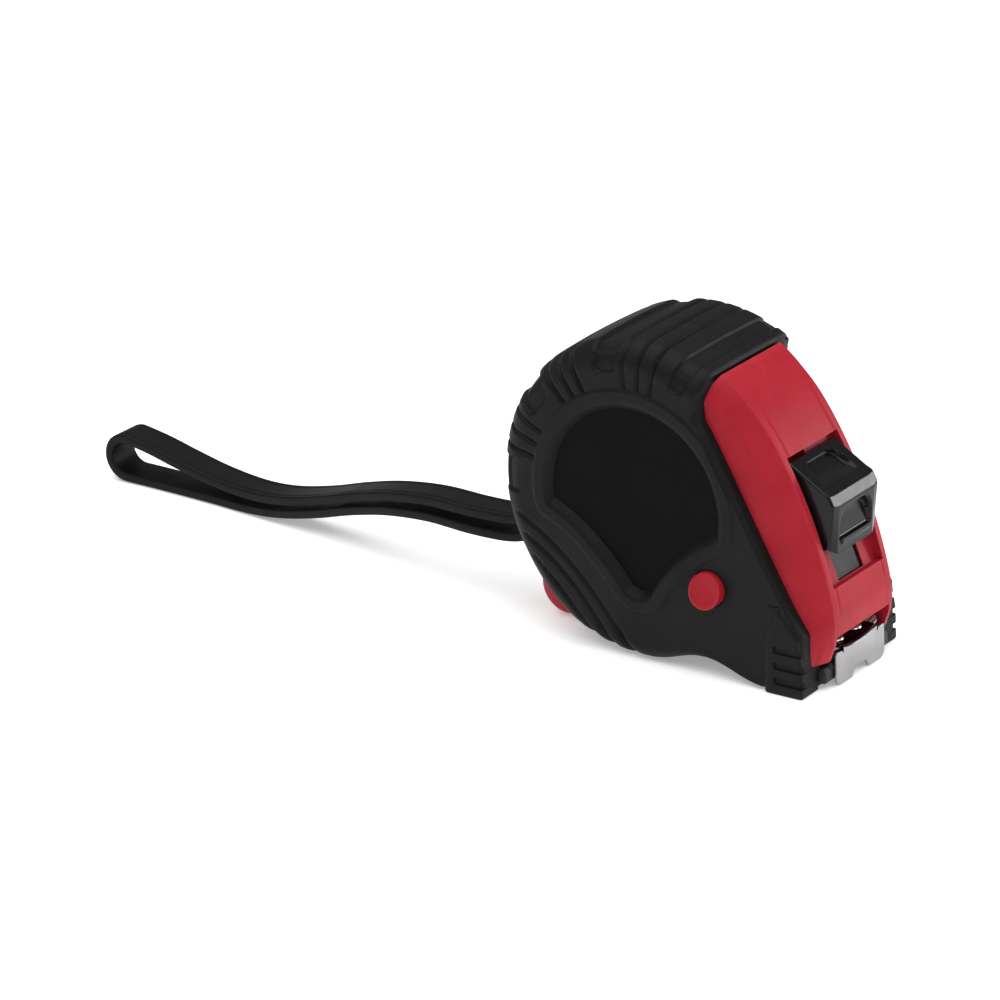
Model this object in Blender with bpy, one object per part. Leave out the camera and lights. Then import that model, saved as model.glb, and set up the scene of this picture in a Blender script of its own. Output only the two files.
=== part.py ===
# Pocket tape measure with a thumb lock, a side brake button, a rear brake trigger and a wrist
# strap. The blade runs out along +X, +Y is the left side and +Z is up. The origin is on the
# surface that the measure stands on, in the middle of its box without the strap.
from math import cos, pi, radians, sin, sqrt

import bmesh
import bpy
from mathutils import Vector

MM = 0.001

# Clearances
SEAM = 0.3 * MM                  # between pieces that touch
RUN = 0.4 * MM                   # around pieces that move
BEYOND = 5.0 * MM                # a hole's tool past the outside

# Blade, drum and power spring
BLADE_WIDTH = 19.0 * MM
BLADE_THICKNESS = 0.3 * MM
BLADE_CUP = 1.9 * MM             # depth of the blade's curved section
BLADE_TAIL = 50.0 * MM           # straight blade behind the hook
BLADE_TRAVEL = 25.0 * MM
COIL_RADIUS = 25.2 * MM
COIL_ROOM = 4.0 * MM             # between the full coil and the case, where the brake works
DRUM_RADIUS = 19.2 * MM
DRUM_WALL = 1.4 * MM
DRUM_WEB = 1.0 * MM
POST_RADIUS = 2.6 * MM
SPRING_TURNS = 5
SPRING_STRIP = 0.5 * MM

# Case
CASE_WALL = 2.2 * MM
CASE_EDGE = 1.5 * MM             # rounding of the rim
CASE_FLOOR = 6.0 * MM            # underside of the front above the floor
SIDE_ROOM = 2.9 * MM             # between the blade's edge and the inside of the case
NOSE_OUT = 8.6 * MM              # nose in front of the round body
BAND_MARGIN = 0.3 * MM           # flat middle of the front beyond the blade's edge
CHANNEL_DEPTH = 0.9 * MM         # under the blade
MOUTH_ROOM = 0.8 * MM            # over the blade's edges

# Rubber grip
GRIP_RIM = 2.3 * MM
GRIP_SIDE = 2.6 * MM
GRIP_SHOULDER = 5.5 * MM
GRIP_CROWN = 0.6 * MM
FOOT_LENGTH = 9.6 * MM
FOOT_OUT = 0.5 * MM              # foot beyond the side of the grip
FOOT_DEPTH = 5.5 * MM            # foot's inner face from the side of the grip
FOOT_HEIGHT = 9.4 * MM
ARCH_HEIGHT = 3.4 * MM
EDGE_SHARE = 0.603               # upper end of the front edge, as a share of the body's radius
BROW_SHARE = 0.72                # underside of the brow, likewise

# Label recess in each side
LABEL_RADIUS = 19.3 * MM
LABEL_TIP = 18.1 * MM            # drum axis down to the tip
LABEL_THICKNESS = 0.6 * MM

# Hook
HOOK_THICKNESS = 0.6 * MM
HOOK_HALF_WIDTH = 8.3 * MM
HOOK_FOOT = 0.5 * MM             # lower edge above the floor
HOOK_TAB = 6.2 * MM
HOOK_PLAY = 1.0 * MM
RIVET_RADIUS = 1.1 * MM
RIVET_OFFSET = 3.4 * MM

# Thumb lock
LOCK_HALF_WIDTH = 8.5 * MM
LOCK_LENGTH = 20.3 * MM
LOCK_HEIGHT = 6.2 * MM
LOCK_TRAVEL = 5.0 * MM
LOCK_MARGIN = 0.9 * MM
TONGUE_THICKNESS = 1.2 * MM
SLOT_HALF_WIDTH = 4.6 * MM
WINDOW_DEPTH = 1.5 * MM
WINDOW_LIFT = 10.2 * MM          # window's lower edge above the mouth
FRONT_SKIN = 1.6 * MM

# Side button
BUTTON_RADIUS = 3.4 * MM
BUTTON_INSET = 2.5 * MM          # button's middle inside the coil's outer edge
BUTTON_ANGLE = -38.4             # degrees from +X towards +Z
BUTTON_TRAVEL = 1.4 * MM
SIDE_PROUD = 2.6 * MM            # button and clip stand this far out of the grip

# Rear brake trigger
BRAKE_HALF_WIDTH = 7.0 * MM
NUB_RADIUS = 6.0 * MM
NUB_OUT = 2.0 * MM               # nub's middle outside the round body
NUB_ANGLE = 228.0
PIVOT_ANGLE = 246.0
BRAKE_PIN_RADIUS = 1.0 * MM
BRAKE_LIFT = 1.0 * MM            # shoe to coil at rest

# Fasteners
SCREW_RADIUS = 1.1 * MM
SCREW_HEAD = 2.1 * MM
BOSS_RADIUS = 2.5 * MM
SCREW_SHORT = 2.4 * MM           # screw's tip short of the inside of the case
SCREW_SEAT = 0.5 * MM            # head's seat in the case wall
PIN_SEAT = 1.2 * MM              # pins and post let into the case wall

# Belt clip
CLIP_HALF_WIDTH = 7.0 * MM
CLIP_THICKNESS = 0.8 * MM
CLIP_SCREW_RADIUS = 1.4 * MM

# Wrist strap
STRAP_WIDTH = 8.0 * MM
STRAP_THICKNESS = 2.0 * MM
STRAP_ANGLE = 209.58             # where the strap leaves the case, from +X towards +Z
LUG_HALF_WIDTH = 4.2 * MM
LUG_HALF_HEIGHT = 2.4 * MM
STRAP_PIN_RADIUS = 0.9 * MM
STRAP_PIN_HALF = 6.5 * MM

# Places that follow from the sizes
CAVITY_RADIUS = COIL_RADIUS + COIL_ROOM
CASE_RADIUS = CAVITY_RADIUS + CASE_WALL
BODY_RADIUS = CASE_RADIUS + SEAM + GRIP_RIM
CAVITY_HALF_WIDTH = BLADE_WIDTH / 2 + SIDE_ROOM
CASE_HALF_WIDTH = CAVITY_HALF_WIDTH + CASE_WALL
GRIP_HALF_WIDTH = CASE_HALF_WIDTH + SEAM + GRIP_SIDE
OUTER_HALF_WIDTH = GRIP_HALF_WIDTH + SIDE_PROUD
OUTSIDE = OUTER_HALF_WIDTH + BEYOND
SCREW_TIP = CAVITY_HALF_WIDTH - SCREW_SHORT
NOSE = BODY_RADIUS + NOSE_OUT
HOOK_BACK = NOSE + SEAM
HOOK_FRONT = HOOK_BACK + HOOK_THICKNESS
AXIS_X = (BODY_RADIUS - HOOK_FRONT) / 2
AXIS_Z = BODY_RADIUS
BAND_HALF_WIDTH = BLADE_WIDTH / 2 + BAND_MARGIN
FOOT_INNER = GRIP_HALF_WIDTH - FOOT_DEPTH
BLADE_LEVEL = AXIS_Z - COIL_RADIUS - SEAM - BLADE_THICKNESS
MOUTH_TOP = BLADE_LEVEL + BLADE_THICKNESS + BLADE_CUP + MOUTH_ROOM
CHANNEL_FLOOR = BLADE_LEVEL - CHANNEL_DEPTH
WINDOW_LENGTH = LOCK_LENGTH + LOCK_TRAVEL + 2 * LOCK_MARGIN
WINDOW_HALF_WIDTH = LOCK_HALF_WIDTH + RUN
GRIP_TOP_ANGLE = 59.5
CASE_TOP_ANGLE = 58.3

COLOURS = {
    "red_plastic": ((0.46, 0.025, 0.045, 1.0), 0.45, 0.0),
    "black_rubber": ((0.018, 0.018, 0.019, 1.0), 0.7, 0.0),
    "label_black": ((0.006, 0.006, 0.008, 1.0), 0.45, 0.0),
    "gloss_black": ((0.008, 0.008, 0.009, 1.0), 0.15, 0.0),
    "black_plastic": ((0.02, 0.02, 0.02, 1.0), 0.5, 0.0),
    "white_blade": ((0.75, 0.75, 0.72, 1.0), 0.35, 0.0),
    "chrome_steel": ((0.75, 0.75, 0.77, 1.0), 0.18, 1.0),
    "spring_steel": ((0.32, 0.33, 0.36, 1.0), 0.3, 1.0),
    "zinc_steel": ((0.55, 0.55, 0.56, 1.0), 0.35, 1.0),
    "grey_plastic": ((0.3, 0.3, 0.31, 1.0), 0.5, 0.0),
}


# Scene and objects

def clear_scene():
    for old in list(bpy.data.objects):
        bpy.data.objects.remove(old, do_unlink=True)


def material(name):
    found = bpy.data.materials.get(name)
    if found:
        return found
    colour, roughness, metallic = COLOURS[name]
    made = bpy.data.materials.new(name)
    made.use_nodes = True
    shader = made.node_tree.nodes["Principled BSDF"]
    shader.inputs["Base Color"].default_value = colour
    shader.inputs["Roughness"].default_value = roughness
    shader.inputs["Metallic"].default_value = metallic
    return made


def add_object(name, bm, finish=None, origin=(0.0, 0.0, 0.0)):
    # Turns a bmesh in world places into an object whose origin is at the given point
    bmesh.ops.recalc_face_normals(bm, faces=bm.faces)
    bmesh.ops.translate(bm, verts=bm.verts, vec=-Vector(origin))
    mesh = bpy.data.meshes.new(name)
    bm.to_mesh(mesh)
    bm.free()
    mesh.shade_smooth()
    mesh.set_sharp_from_angle(angle=radians(32))
    thing = bpy.data.objects.new(name, mesh)
    thing.location = origin
    bpy.context.scene.collection.objects.link(thing)
    if finish:
        mesh.materials.append(material(finish))
    else:
        thing.hide_render = True
        thing.display_type = 'WIRE'
    return thing


def boolean(target, other, operation='DIFFERENCE'):
    step = target.modifiers.new(other.name, 'BOOLEAN')
    step.operation = operation
    step.solver = 'EXACT'
    step.object = other


def cut(target, *cutters):
    for cutter in cutters:
        boolean(target, cutter)


def join(target, *pieces):
    for piece in pieces:
        boolean(target, piece, 'UNION')


# Outlines are lists of (u, z): u along X from the drum's axis, z above the floor

def polar(radius, angle):
    return (radius * cos(radians(angle)), AXIS_Z + radius * sin(radians(angle)))


def arc(radius, start, end, steps):
    return [polar(radius, start + (end - start) * k / steps) for k in range(steps + 1)]


def circle(centre, radius, steps=24):
    turns = [2 * pi * k / steps for k in range(steps)]
    return [(centre[0] + radius * cos(a), centre[1] + radius * sin(a)) for a in turns]


def bezier(points, steps):
    (x0, z0), (x1, z1), (x2, z2), (x3, z3) = points
    curve = []
    for k in range(steps + 1):
        t = k / steps
        a, b, c, d = (1 - t) ** 3, 3 * t * (1 - t) ** 2, 3 * t * t * (1 - t), t ** 3
        curve.append((a * x0 + b * x1 + c * x2 + d * x3, a * z0 + b * z1 + c * z2 + d * z3))
    return curve


def quadratic(start, middle, end, steps):
    curve = []
    for k in range(steps + 1):
        t = k / steps
        a, b, c = (1 - t) ** 2, 2 * t * (1 - t), t * t
        curve.append(tuple(a * p + b * q + c * r for p, q, r in zip(start, middle, end)))
    return curve


def round_drop(distance, radius):
    # How far a rounded edge has fallen, when this far from where the rounding starts
    reach = min(max(distance, 0.0), radius)
    return radius - sqrt(radius * radius - reach * reach)


# Solids

def skin(bm, rings):
    rows = [[bm.verts.new(point) for point in ring] for ring in rings]
    count = len(rows[0])
    for near, far in zip(rows, rows[1:]):
        for k in range(count):
            after = (k + 1) % count
            bm.faces.new((near[k], near[after], far[after], far[k]))
    bm.faces.new(rows[0])
    bm.faces.new(list(reversed(rows[-1])))


def side_ring(outline, y):
    return [(AXIS_X + u, y, z) for u, z in outline]


def side_stack(name, layers, finish=None, origin=(0.0, 0.0, 0.0)):
    # A solid skinned over outlines that stand at different widths: layers are (y, outline)
    bm = bmesh.new()
    skin(bm, [side_ring(outline, y) for y, outline in layers])
    return add_object(name, bm, finish, origin)


def prism(name, outline, y0, y1, finish=None, origin=(0.0, 0.0, 0.0)):
    return side_stack(name, [(y0, outline), (y1, outline)], finish, origin)


def block(name, u0, u1, y0, y1, z0, z1, finish=None):
    return prism(name, [(u0, z0), (u1, z0), (u1, z1), (u0, z1)], y0, y1, finish)


def rod(name, centre, radius, y0, y1, finish=None, steps=24, origin=(0.0, 0.0, 0.0)):
    return prism(name, circle(centre, radius, steps), y0, y1, finish, origin)


def turned(name, centre, profile, finish=None, steps=32, origin=(0.0, 0.0, 0.0)):
    # A solid turned about an axis along Y: profile is a closed list of (radius, y)
    bm = bmesh.new()
    rows = []
    for k in range(steps):
        a = 2 * pi * k / steps
        rows.append([bm.verts.new((AXIS_X + centre[0] + r * cos(a), y, centre[1] + r * sin(a)))
                     for r, y in profile])
    count = len(profile)
    for k in range(steps):
        near, far = rows[k], rows[(k + 1) % steps]
        for j in range(count):
            after = (j + 1) % count
            bm.faces.new((near[j], near[after], far[after], far[j]))
    return add_object(name, bm, finish, origin)


def spindle(name, centre, profile, finish=None, steps=24, origin=(0.0, 0.0, 0.0)):
    # A solid turned about an axis along Y with no hole: profile runs (radius, y) along the axis
    bm = bmesh.new()
    skin(bm, [side_ring(circle(centre, r, steps), y) for r, y in profile])
    return add_object(name, bm, finish, origin)


def front_ring(outline, u):
    return [(AXIS_X + u, y, z) for y, z in outline]


def upright(name, x, y, profile, finish, steps=20):
    # A solid of revolution on an upright axis: profile runs (radius, z) from bottom to top
    bm = bmesh.new()
    rings = []
    for r, z in profile:
        rings.append([(AXIS_X + x + r * cos(2 * pi * k / steps), y + r * sin(2 * pi * k / steps), z)
                      for k in range(steps)])
    skin(bm, rings)
    return add_object(name, bm, finish)


def strip_outline(points, thickness):
    # Closed outline of a strip that follows a line of points
    left, right = [], []
    for k, (p, q) in enumerate(points):
        before = points[max(k - 1, 0)]
        after = points[min(k + 1, len(points) - 1)]
        along = Vector((after[0] - before[0], after[1] - before[1])).normalized()
        left.append((p - along.y * thickness / 2, q + along.x * thickness / 2))
        right.append((p + along.y * thickness / 2, q - along.x * thickness / 2))
    return left + right[::-1]


# Front of the case and the lock's own directions

def front_curve(steps):
    top = polar(BODY_RADIUS - 0.6 * MM, CASE_TOP_ANGLE)
    tilt = radians(CASE_TOP_ANGLE)
    shoulder = (top[0] + 13.0 * MM * sin(tilt), top[1] - 13.0 * MM * cos(tilt))
    nose = (NOSE, MOUTH_TOP + 3.8 * MM)
    brow = (nose[0] - 3.5 * MM, nose[1] + 20.0 * MM)
    return bezier((nose, brow, shoulder, top), steps)


def flank_curve(steps):
    top = polar(CASE_RADIUS - 3.4 * MM, CASE_TOP_ANGLE)
    foot = (NOSE - 3.8 * MM, MOUTH_TOP)
    low = (foot[0] - 8.8 * MM, foot[1] + 13.8 * MM)
    high = (top[0] + 3.9 * MM, top[1] - 8.5 * MM)
    return bezier((foot, low, high, top), steps)


def front_at(height):
    curve = front_curve(200)
    for low, high in zip(curve, curve[1:]):
        if high[1] >= height:
            part = (height - low[1]) / (high[1] - low[1])
            return Vector((low[0] + part * (high[0] - low[0]), height))
    return Vector(curve[-1])


WINDOW_FOOT = front_at(MOUTH_TOP + WINDOW_LIFT)
WINDOW_UP = (front_at(WINDOW_FOOT.y + 0.934 * WINDOW_LENGTH) - WINDOW_FOOT).normalized()
WINDOW_OUT = Vector((WINDOW_UP.y, -WINDOW_UP.x))


def on_window(along, out):
    point = WINDOW_FOOT + WINDOW_UP * along + WINDOW_OUT * out
    return (point.x, point.y)


def window_outline(pairs):
    return [on_window(along, out) for along, out in pairs]


def window_block(name, along0, along1, out0, out1, half_width, finish=None):
    outline = window_outline([(along0, out0), (along1, out0), (along1, out1), (along0, out1)])
    return prism(name, outline, -half_width, half_width, finish)


# Case halves

FRONT_STEPS = 14


def case_outline(y, grow=0.0):
    # Side view of the case at this width, grown all round for the rubber's inside
    width = abs(y)
    edge = round_drop(width - (CASE_HALF_WIDTH - CASE_EDGE), CASE_EDGE)
    across = (width - BAND_HALF_WIDTH) / (CASE_HALF_WIDTH - BAND_HALF_WIDTH)
    across = min(max(across, 0.0), 1.0)
    mix = 0.5 * across + 0.5 * (1 - sqrt(1 - across * across))
    rim = arc(CASE_RADIUS + grow - edge, CASE_TOP_ANGLE, 285.0, 34)
    floor = CASE_FLOOR - grow
    chin = [(18.0 * MM, floor), (NOSE - 1.8 * MM + grow - 2.4 * MM * mix, floor)]
    lip = [(NOSE - 0.4 * MM + grow - 3.4 * MM * mix, MOUTH_TOP - 1.5 * MM)]
    front = []
    for outer, inner in zip(front_curve(FRONT_STEPS), flank_curve(FRONT_STEPS)):
        u = outer[0] + (inner[0] - outer[0]) * mix + grow
        z = outer[1] + (inner[1] - outer[1]) * mix
        front.append((u, z))
    return rim + chin + lip + front


def case_widths():
    flank = [BAND_HALF_WIDTH + (CASE_HALF_WIDTH - BAND_HALF_WIDTH) * s for s in (0, .3, .55, .75)]
    edge = [CASE_HALF_WIDTH - CASE_EDGE * (1 - s) for s in (.35, .7, .92, 1)]
    return [SEAM / 2] + flank + edge


SCREW_PLACES = (
    polar(CAVITY_RADIUS - 1.0 * MM, 128.0),
    polar(CAVITY_RADIUS - 1.0 * MM, 186.0),
    (NOSE - 13.1 * MM, MOUTH_TOP + 8.8 * MM),
)
BUTTON_PLACE = polar(COIL_RADIUS - BUTTON_INSET, BUTTON_ANGLE)
NUB_PLACE = polar(BODY_RADIUS + NUB_OUT, NUB_ANGLE)
PIVOT_PLACE = polar(CAVITY_RADIUS - 2.0 * MM, PIVOT_ANGLE)
CLIP_SCREW_PLACE = (0.0, AXIS_Z + 11.0 * MM)
WALL_AT_STRAP, STRAP_LEVEL = polar(CASE_RADIUS, STRAP_ANGLE)
STRAP_PIN_PLACE = (WALL_AT_STRAP + 3.3 * MM, STRAP_LEVEL)


def brake_slot(half_width):
    # Opening for the trigger: its nub, lifted by the press, and its neck
    lifted = (NUB_PLACE[0] + 0.1 * MM, NUB_PLACE[1] + 0.4 * MM)
    nub = rod("brake_slot", lifted, NUB_RADIUS + 0.7 * MM, -half_width, half_width, steps=32)
    inner, outer = CAVITY_RADIUS - 1.0 * MM, BODY_RADIUS
    neck = [polar(inner, NUB_ANGLE - 10), polar(outer, NUB_ANGLE - 8),
            polar(outer, NUB_ANGLE + 8), polar(inner, NUB_ANGLE + 8)]
    passage = prism("brake_passage", neck, -half_width, half_width)
    return nub, passage


def strap_slot():
    reach = LUG_HALF_HEIGHT + RUN
    return block("strap_slot", -BODY_RADIUS - 5 * MM, STRAP_PIN_PLACE[0] + 2.0 * MM,
                 -LUG_HALF_WIDTH - RUN, LUG_HALF_WIDTH + RUN,
                 STRAP_LEVEL - reach, STRAP_LEVEL + reach)


def front_hollow():
    # Space between the drum and the lock, bounded by the channel below and the brow above
    behind = -WINDOW_DEPTH - FRONT_SKIN - TONGUE_THICKNESS
    low, high = on_window(-4.0 * MM, behind), on_window(WINDOW_LENGTH + 3 * MM, behind)
    return [(17.0 * MM, MOUTH_TOP + 1.5 * MM), (low[0] - 2.0 * MM, MOUTH_TOP + 1.5 * MM), low,
            high, (17.0 * MM, high[1])]


def common_cutters():
    half = CAVITY_HALF_WIDTH
    slot_half = BLADE_WIDTH / 2 + RUN
    tools = [
        rod("cavity", (0.0, AXIS_Z), CAVITY_RADIUS, -half, half, steps=48),
        block("blade_channel", 0.0, NOSE + 5 * MM, -slot_half, slot_half, CHANNEL_FLOOR, MOUTH_TOP),
        block("mouth", NOSE - 9.0 * MM, NOSE + 5 * MM, -slot_half, slot_half, 0.0, MOUTH_TOP),
        window_block("lock_window", 0.0, WINDOW_LENGTH, -WINDOW_DEPTH, 8 * MM, WINDOW_HALF_WIDTH),
        window_block("lock_chamber", -9.6 * MM, WINDOW_LENGTH + RUN,
                     -WINDOW_DEPTH - FRONT_SKIN - TONGUE_THICKNESS - 3 * RUN,
                     -WINDOW_DEPTH - FRONT_SKIN, 7.0 * MM),
        prism("front_hollow", front_hollow(), -BAND_HALF_WIDTH, BAND_HALF_WIDTH),
        window_block("lock_slot", 1.2 * MM, 21.5 * MM, -5.0 * MM, 3.0 * MM, SLOT_HALF_WIDTH),
        rod("post_seat", (0.0, AXIS_Z), POST_RADIUS + SEAM, -half - PIN_SEAT - SEAM,
            half + PIN_SEAT + SEAM),
        rod("brake_pin_seat", PIVOT_PLACE, BRAKE_PIN_RADIUS + SEAM, -half - PIN_SEAT,
            half + PIN_SEAT, steps=16),
        rod("strap_pin_seat", STRAP_PIN_PLACE, STRAP_PIN_RADIUS + SEAM,
            -STRAP_PIN_HALF - SEAM, STRAP_PIN_HALF + SEAM, steps=16),
        strap_slot(),
    ]
    return tools + list(brake_slot(BRAKE_HALF_WIDTH + RUN))


def make_case(name, side, cutters):
    layers = [(side * y, case_outline(y)) for y in case_widths()]
    half = side_stack(name, layers, "red_plastic")
    cut(half, *cutters)
    inner = side * CAVITY_HALF_WIDTH
    for k, place in enumerate(SCREW_PLACES):
        boss = rod(f"{name}_boss_{k + 1}", place, BOSS_RADIUS, side * SEAM / 2,
                   inner + side * SCREW_SEAT)
        join(half, boss)
    return half


def make_cases():
    cutters = common_cutters()
    right = make_case("case_right", -1, cutters)
    left = make_case("case_left", 1, cutters)
    button_hole = rod("button_hole", BUTTON_PLACE, BUTTON_RADIUS + RUN, -OUTSIDE, -SCREW_TIP)
    clip_hole = rod("clip_hole", CLIP_SCREW_PLACE, CLIP_SCREW_RADIUS + SEAM,
                    CAVITY_HALF_WIDTH - RUN, OUTSIDE)
    cut(right, button_hole)
    cut(left, clip_hole)
    head_seat = CAVITY_HALF_WIDTH + SCREW_SEAT
    for k, place in enumerate(SCREW_PLACES):
        pilot = rod(f"screw_pilot_{k + 1}", place, SCREW_RADIUS + SEAM,
                    -SCREW_TIP - SCREW_SEAT, CASE_HALF_WIDTH + SEAM)
        seat = rod(f"screw_seat_{k + 1}", place, SCREW_HEAD + RUN, head_seat, OUTSIDE)
        cut(right, pilot)
        cut(left, pilot, seat)
        spindle(f"case_screw_{k + 1}", place, [
            (SCREW_RADIUS, -SCREW_TIP), (SCREW_RADIUS, head_seat + SEAM),
            (SCREW_HEAD, head_seat + SEAM), (SCREW_HEAD, CASE_HALF_WIDTH)], "zinc_steel", 14)
    return button_hole, clip_hole


# Rubber grip halves and labels

def grip_outline(y):
    width = abs(y)
    fall = GRIP_CROWN * (width / GRIP_HALF_WIDTH) ** 2
    drop = fall + round_drop(width - (GRIP_HALF_WIDTH - GRIP_SHOULDER), GRIP_SHOULDER)
    rim = arc(BODY_RADIUS - drop, GRIP_TOP_ANGLE, 272.0, 34)
    start, end = rim[-1][0], NOSE - 2.4 * MM - FOOT_LENGTH
    arch = []
    for k in range(1, 8):
        part = k / 8
        arch.append((start + (end - start) * part,
                     ARCH_HEIGHT * sin(pi * part) ** 2 + drop * (1 - part)))
    front = NOSE - 2.4 * MM
    foot = [(end, 0.0), (front - 0.4 * MM, 0.0), (front, 0.4 * MM), (front, FOOT_HEIGHT)]
    top = polar(BODY_RADIUS, GRIP_TOP_ANGLE)
    edge = bezier(((NOSE - 2.7 * MM, MOUTH_TOP + 1.6 * MM),
                   (NOSE - 8.6 * MM, MOUTH_TOP + 8.8 * MM),
                   (NOSE - 20.6 * MM, AXIS_Z + 12.0 * MM),
                   (top[0] - 1.0 * MM, AXIS_Z + EDGE_SHARE * BODY_RADIUS)), 12)
    brow = [(top[0] - 1.2 * MM, AXIS_Z + BROW_SHARE * BODY_RADIUS)]
    return rim + arch + foot + edge + brow


def grip_widths():
    start = GRIP_HALF_WIDTH - GRIP_SHOULDER
    bend = [start + GRIP_SHOULDER * s for s in (0, .38, .66, .86, .97, 1)]
    return [SEAM / 2, start * 0.5] + bend


def label_outline(inset=0.0):
    # Round top and a shield-shaped point below with hollow flanks
    radius = LABEL_RADIUS - inset
    tip = AXIS_Z - LABEL_TIP + inset
    left, right = polar(radius, 188.0), polar(radius, -8.0)
    rim = arc(radius, -8.0, 188.0, 24)
    point_left, point_right = (-1.2 * MM, tip + 0.9 * MM), (3.4 * MM, tip + 0.9 * MM)
    down = quadratic(left, (-10.0 * MM, AXIS_Z - 6.4 * MM), point_left, 7)[1:]
    turn = [(1.1 * MM, tip)]
    up = quadratic(point_right, (8.8 * MM, AXIS_Z - 8.2 * MM), right, 7)[:-1]
    return rim + down + turn + up


def make_grip(name, side, cutters):
    layers = [(side * y, grip_outline(y)) for y in grip_widths()]
    half = side_stack(name, layers, "black_rubber")
    front = NOSE - 2.4 * MM
    foot_back = front - FOOT_LENGTH
    foot = prism(f"{name}_foot", [(foot_back, 0.0), (front, 0.0), (front, FOOT_HEIGHT),
                                  (front - 1.2 * MM, FOOT_HEIGHT + 3.0 * MM),
                                  (front - 6.0 * MM, FOOT_HEIGHT + 3.0 * MM),
                                  (foot_back + 0.8 * MM, 3.0 * MM)],
                 side * (FOOT_INNER + 1.0 * MM), side * (GRIP_HALF_WIDTH + FOOT_OUT))
    join(half, foot)
    grown = CASE_HALF_WIDTH + SEAM
    widths = [-1.0 * MM, *case_widths()[1:-1], grown]
    shell = [(side * y, case_outline(min(abs(y), CASE_HALF_WIDTH), SEAM)) for y in widths]
    cut(half, side_stack(f"{name}_inside", shell))
    cut(half, *cutters)
    cut(half, block(f"{name}_chin", foot_back - 1.6 * MM, NOSE + 5 * MM,
                    -FOOT_INNER, FOOT_INNER, -1.0 * MM, CASE_FLOOR + 2 * MM))
    return half


def make_grips(button_hole):
    recess = [prism(f"label_recess_{name}", label_outline(), side * CASE_HALF_WIDTH * 0.97,
                    side * OUTSIDE) for name, side in (("right", -1), ("left", 1))]
    shared = [strap_slot(), *brake_slot(BRAKE_HALF_WIDTH + RUN)]
    right = make_grip("grip_right", -1, shared)
    left = make_grip("grip_left", 1, shared)
    cut(right, recess[0], button_hole)
    cut(left, recess[1])
    for k, place in enumerate(SCREW_PLACES):
        cut(left, rod(f"grip_screw_hole_{k + 1}", place, SCREW_HEAD + RUN,
                      CASE_HALF_WIDTH - SEAM, OUTSIDE))


def make_labels(clip_hole):
    inner = CASE_HALF_WIDTH + SEAM
    outer = inner + LABEL_THICKNESS
    prism("label_right", label_outline(SEAM), -inner, -outer, "label_black")
    left = prism("label_left", label_outline(SEAM), inner, outer, "label_black")
    cut(left, clip_hole)


# Drum, spring and post

def make_drum():
    centre = (0.0, AXIS_Z)
    origin = (AXIS_X, 0.0, AXIS_Z)
    half = BLADE_WIDTH / 2
    bore = POST_RADIUS + RUN
    inner = DRUM_RADIUS - DRUM_WALL
    turned("spring_drum", centre, [(bore, half - DRUM_WEB), (inner, half - DRUM_WEB),
                                   (inner, -half), (DRUM_RADIUS, -half),
                                   (DRUM_RADIUS, half), (bore, half)],
           "grey_plastic", 36, origin)
    lid = inner - RUN
    turned("drum_cover", centre, [(bore, -half), (lid, -half), (lid, DRUM_WEB - half),
                                  (bore, DRUM_WEB - half)], "grey_plastic", 36, origin)
    turned("blade_coil", centre, [(DRUM_RADIUS + SEAM, -half), (COIL_RADIUS, -half),
                                  (COIL_RADIUS, half), (DRUM_RADIUS + SEAM, half)],
           "white_blade", 44, origin)
    rod("centre_post", centre, POST_RADIUS, -CAVITY_HALF_WIDTH - PIN_SEAT,
        CAVITY_HALF_WIDTH + PIN_SEAT, "zinc_steel", 24)
    make_power_spring(inner, half - DRUM_WEB - RUN)


def make_power_spring(outer, half):
    start, end = POST_RADIUS + 2 * RUN, outer - 2 * RUN
    around = 18
    steps = SPRING_TURNS * around
    line = [(start + (end - start) * k / steps, 2 * pi * k / around) for k in range(steps + 1)]
    bm = bmesh.new()
    rings = []
    for r, a in line:
        ring = []
        for out, y in ((0, -half), (SPRING_STRIP, -half), (SPRING_STRIP, half), (0, half)):
            reach = r + out - SPRING_STRIP / 2
            ring.append((AXIS_X + reach * cos(a), y, AXIS_Z + reach * sin(a)))
        rings.append(ring)
    skin(bm, rings)
    add_object("power_spring", bm, "spring_steel", (AXIS_X, 0.0, AXIS_Z))


# Blade and hook

def cup_rise(y, share=1.0):
    half = BLADE_WIDTH / 2
    return BLADE_CUP * share * (y / half) ** 2


def cup_share(u):
    # The blade is flat under the coil and springs into its curved section in front of it
    part = min(max((u - 2.5 * MM) / (10.5 * MM), 0.0), 1.0)
    return part * part * (3 - 2 * part)


def cupped_strip(name, stations, half_width, level, thickness, finish=None):
    bm = bmesh.new()
    rings = []
    spans = 10
    for u in stations:
        ring = []
        for k in range(spans + 1):
            y = -half_width + 2 * half_width * k / spans
            ring.append((AXIS_X + u, y, level + cup_rise(y, cup_share(u))))
        for k in range(spans, -1, -1):
            y = -half_width + 2 * half_width * k / spans
            ring.append((AXIS_X + u, y, level + thickness + cup_rise(y, cup_share(u))))
        rings.append(ring)
    skin(bm, rings)
    return add_object(name, bm, finish)


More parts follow.
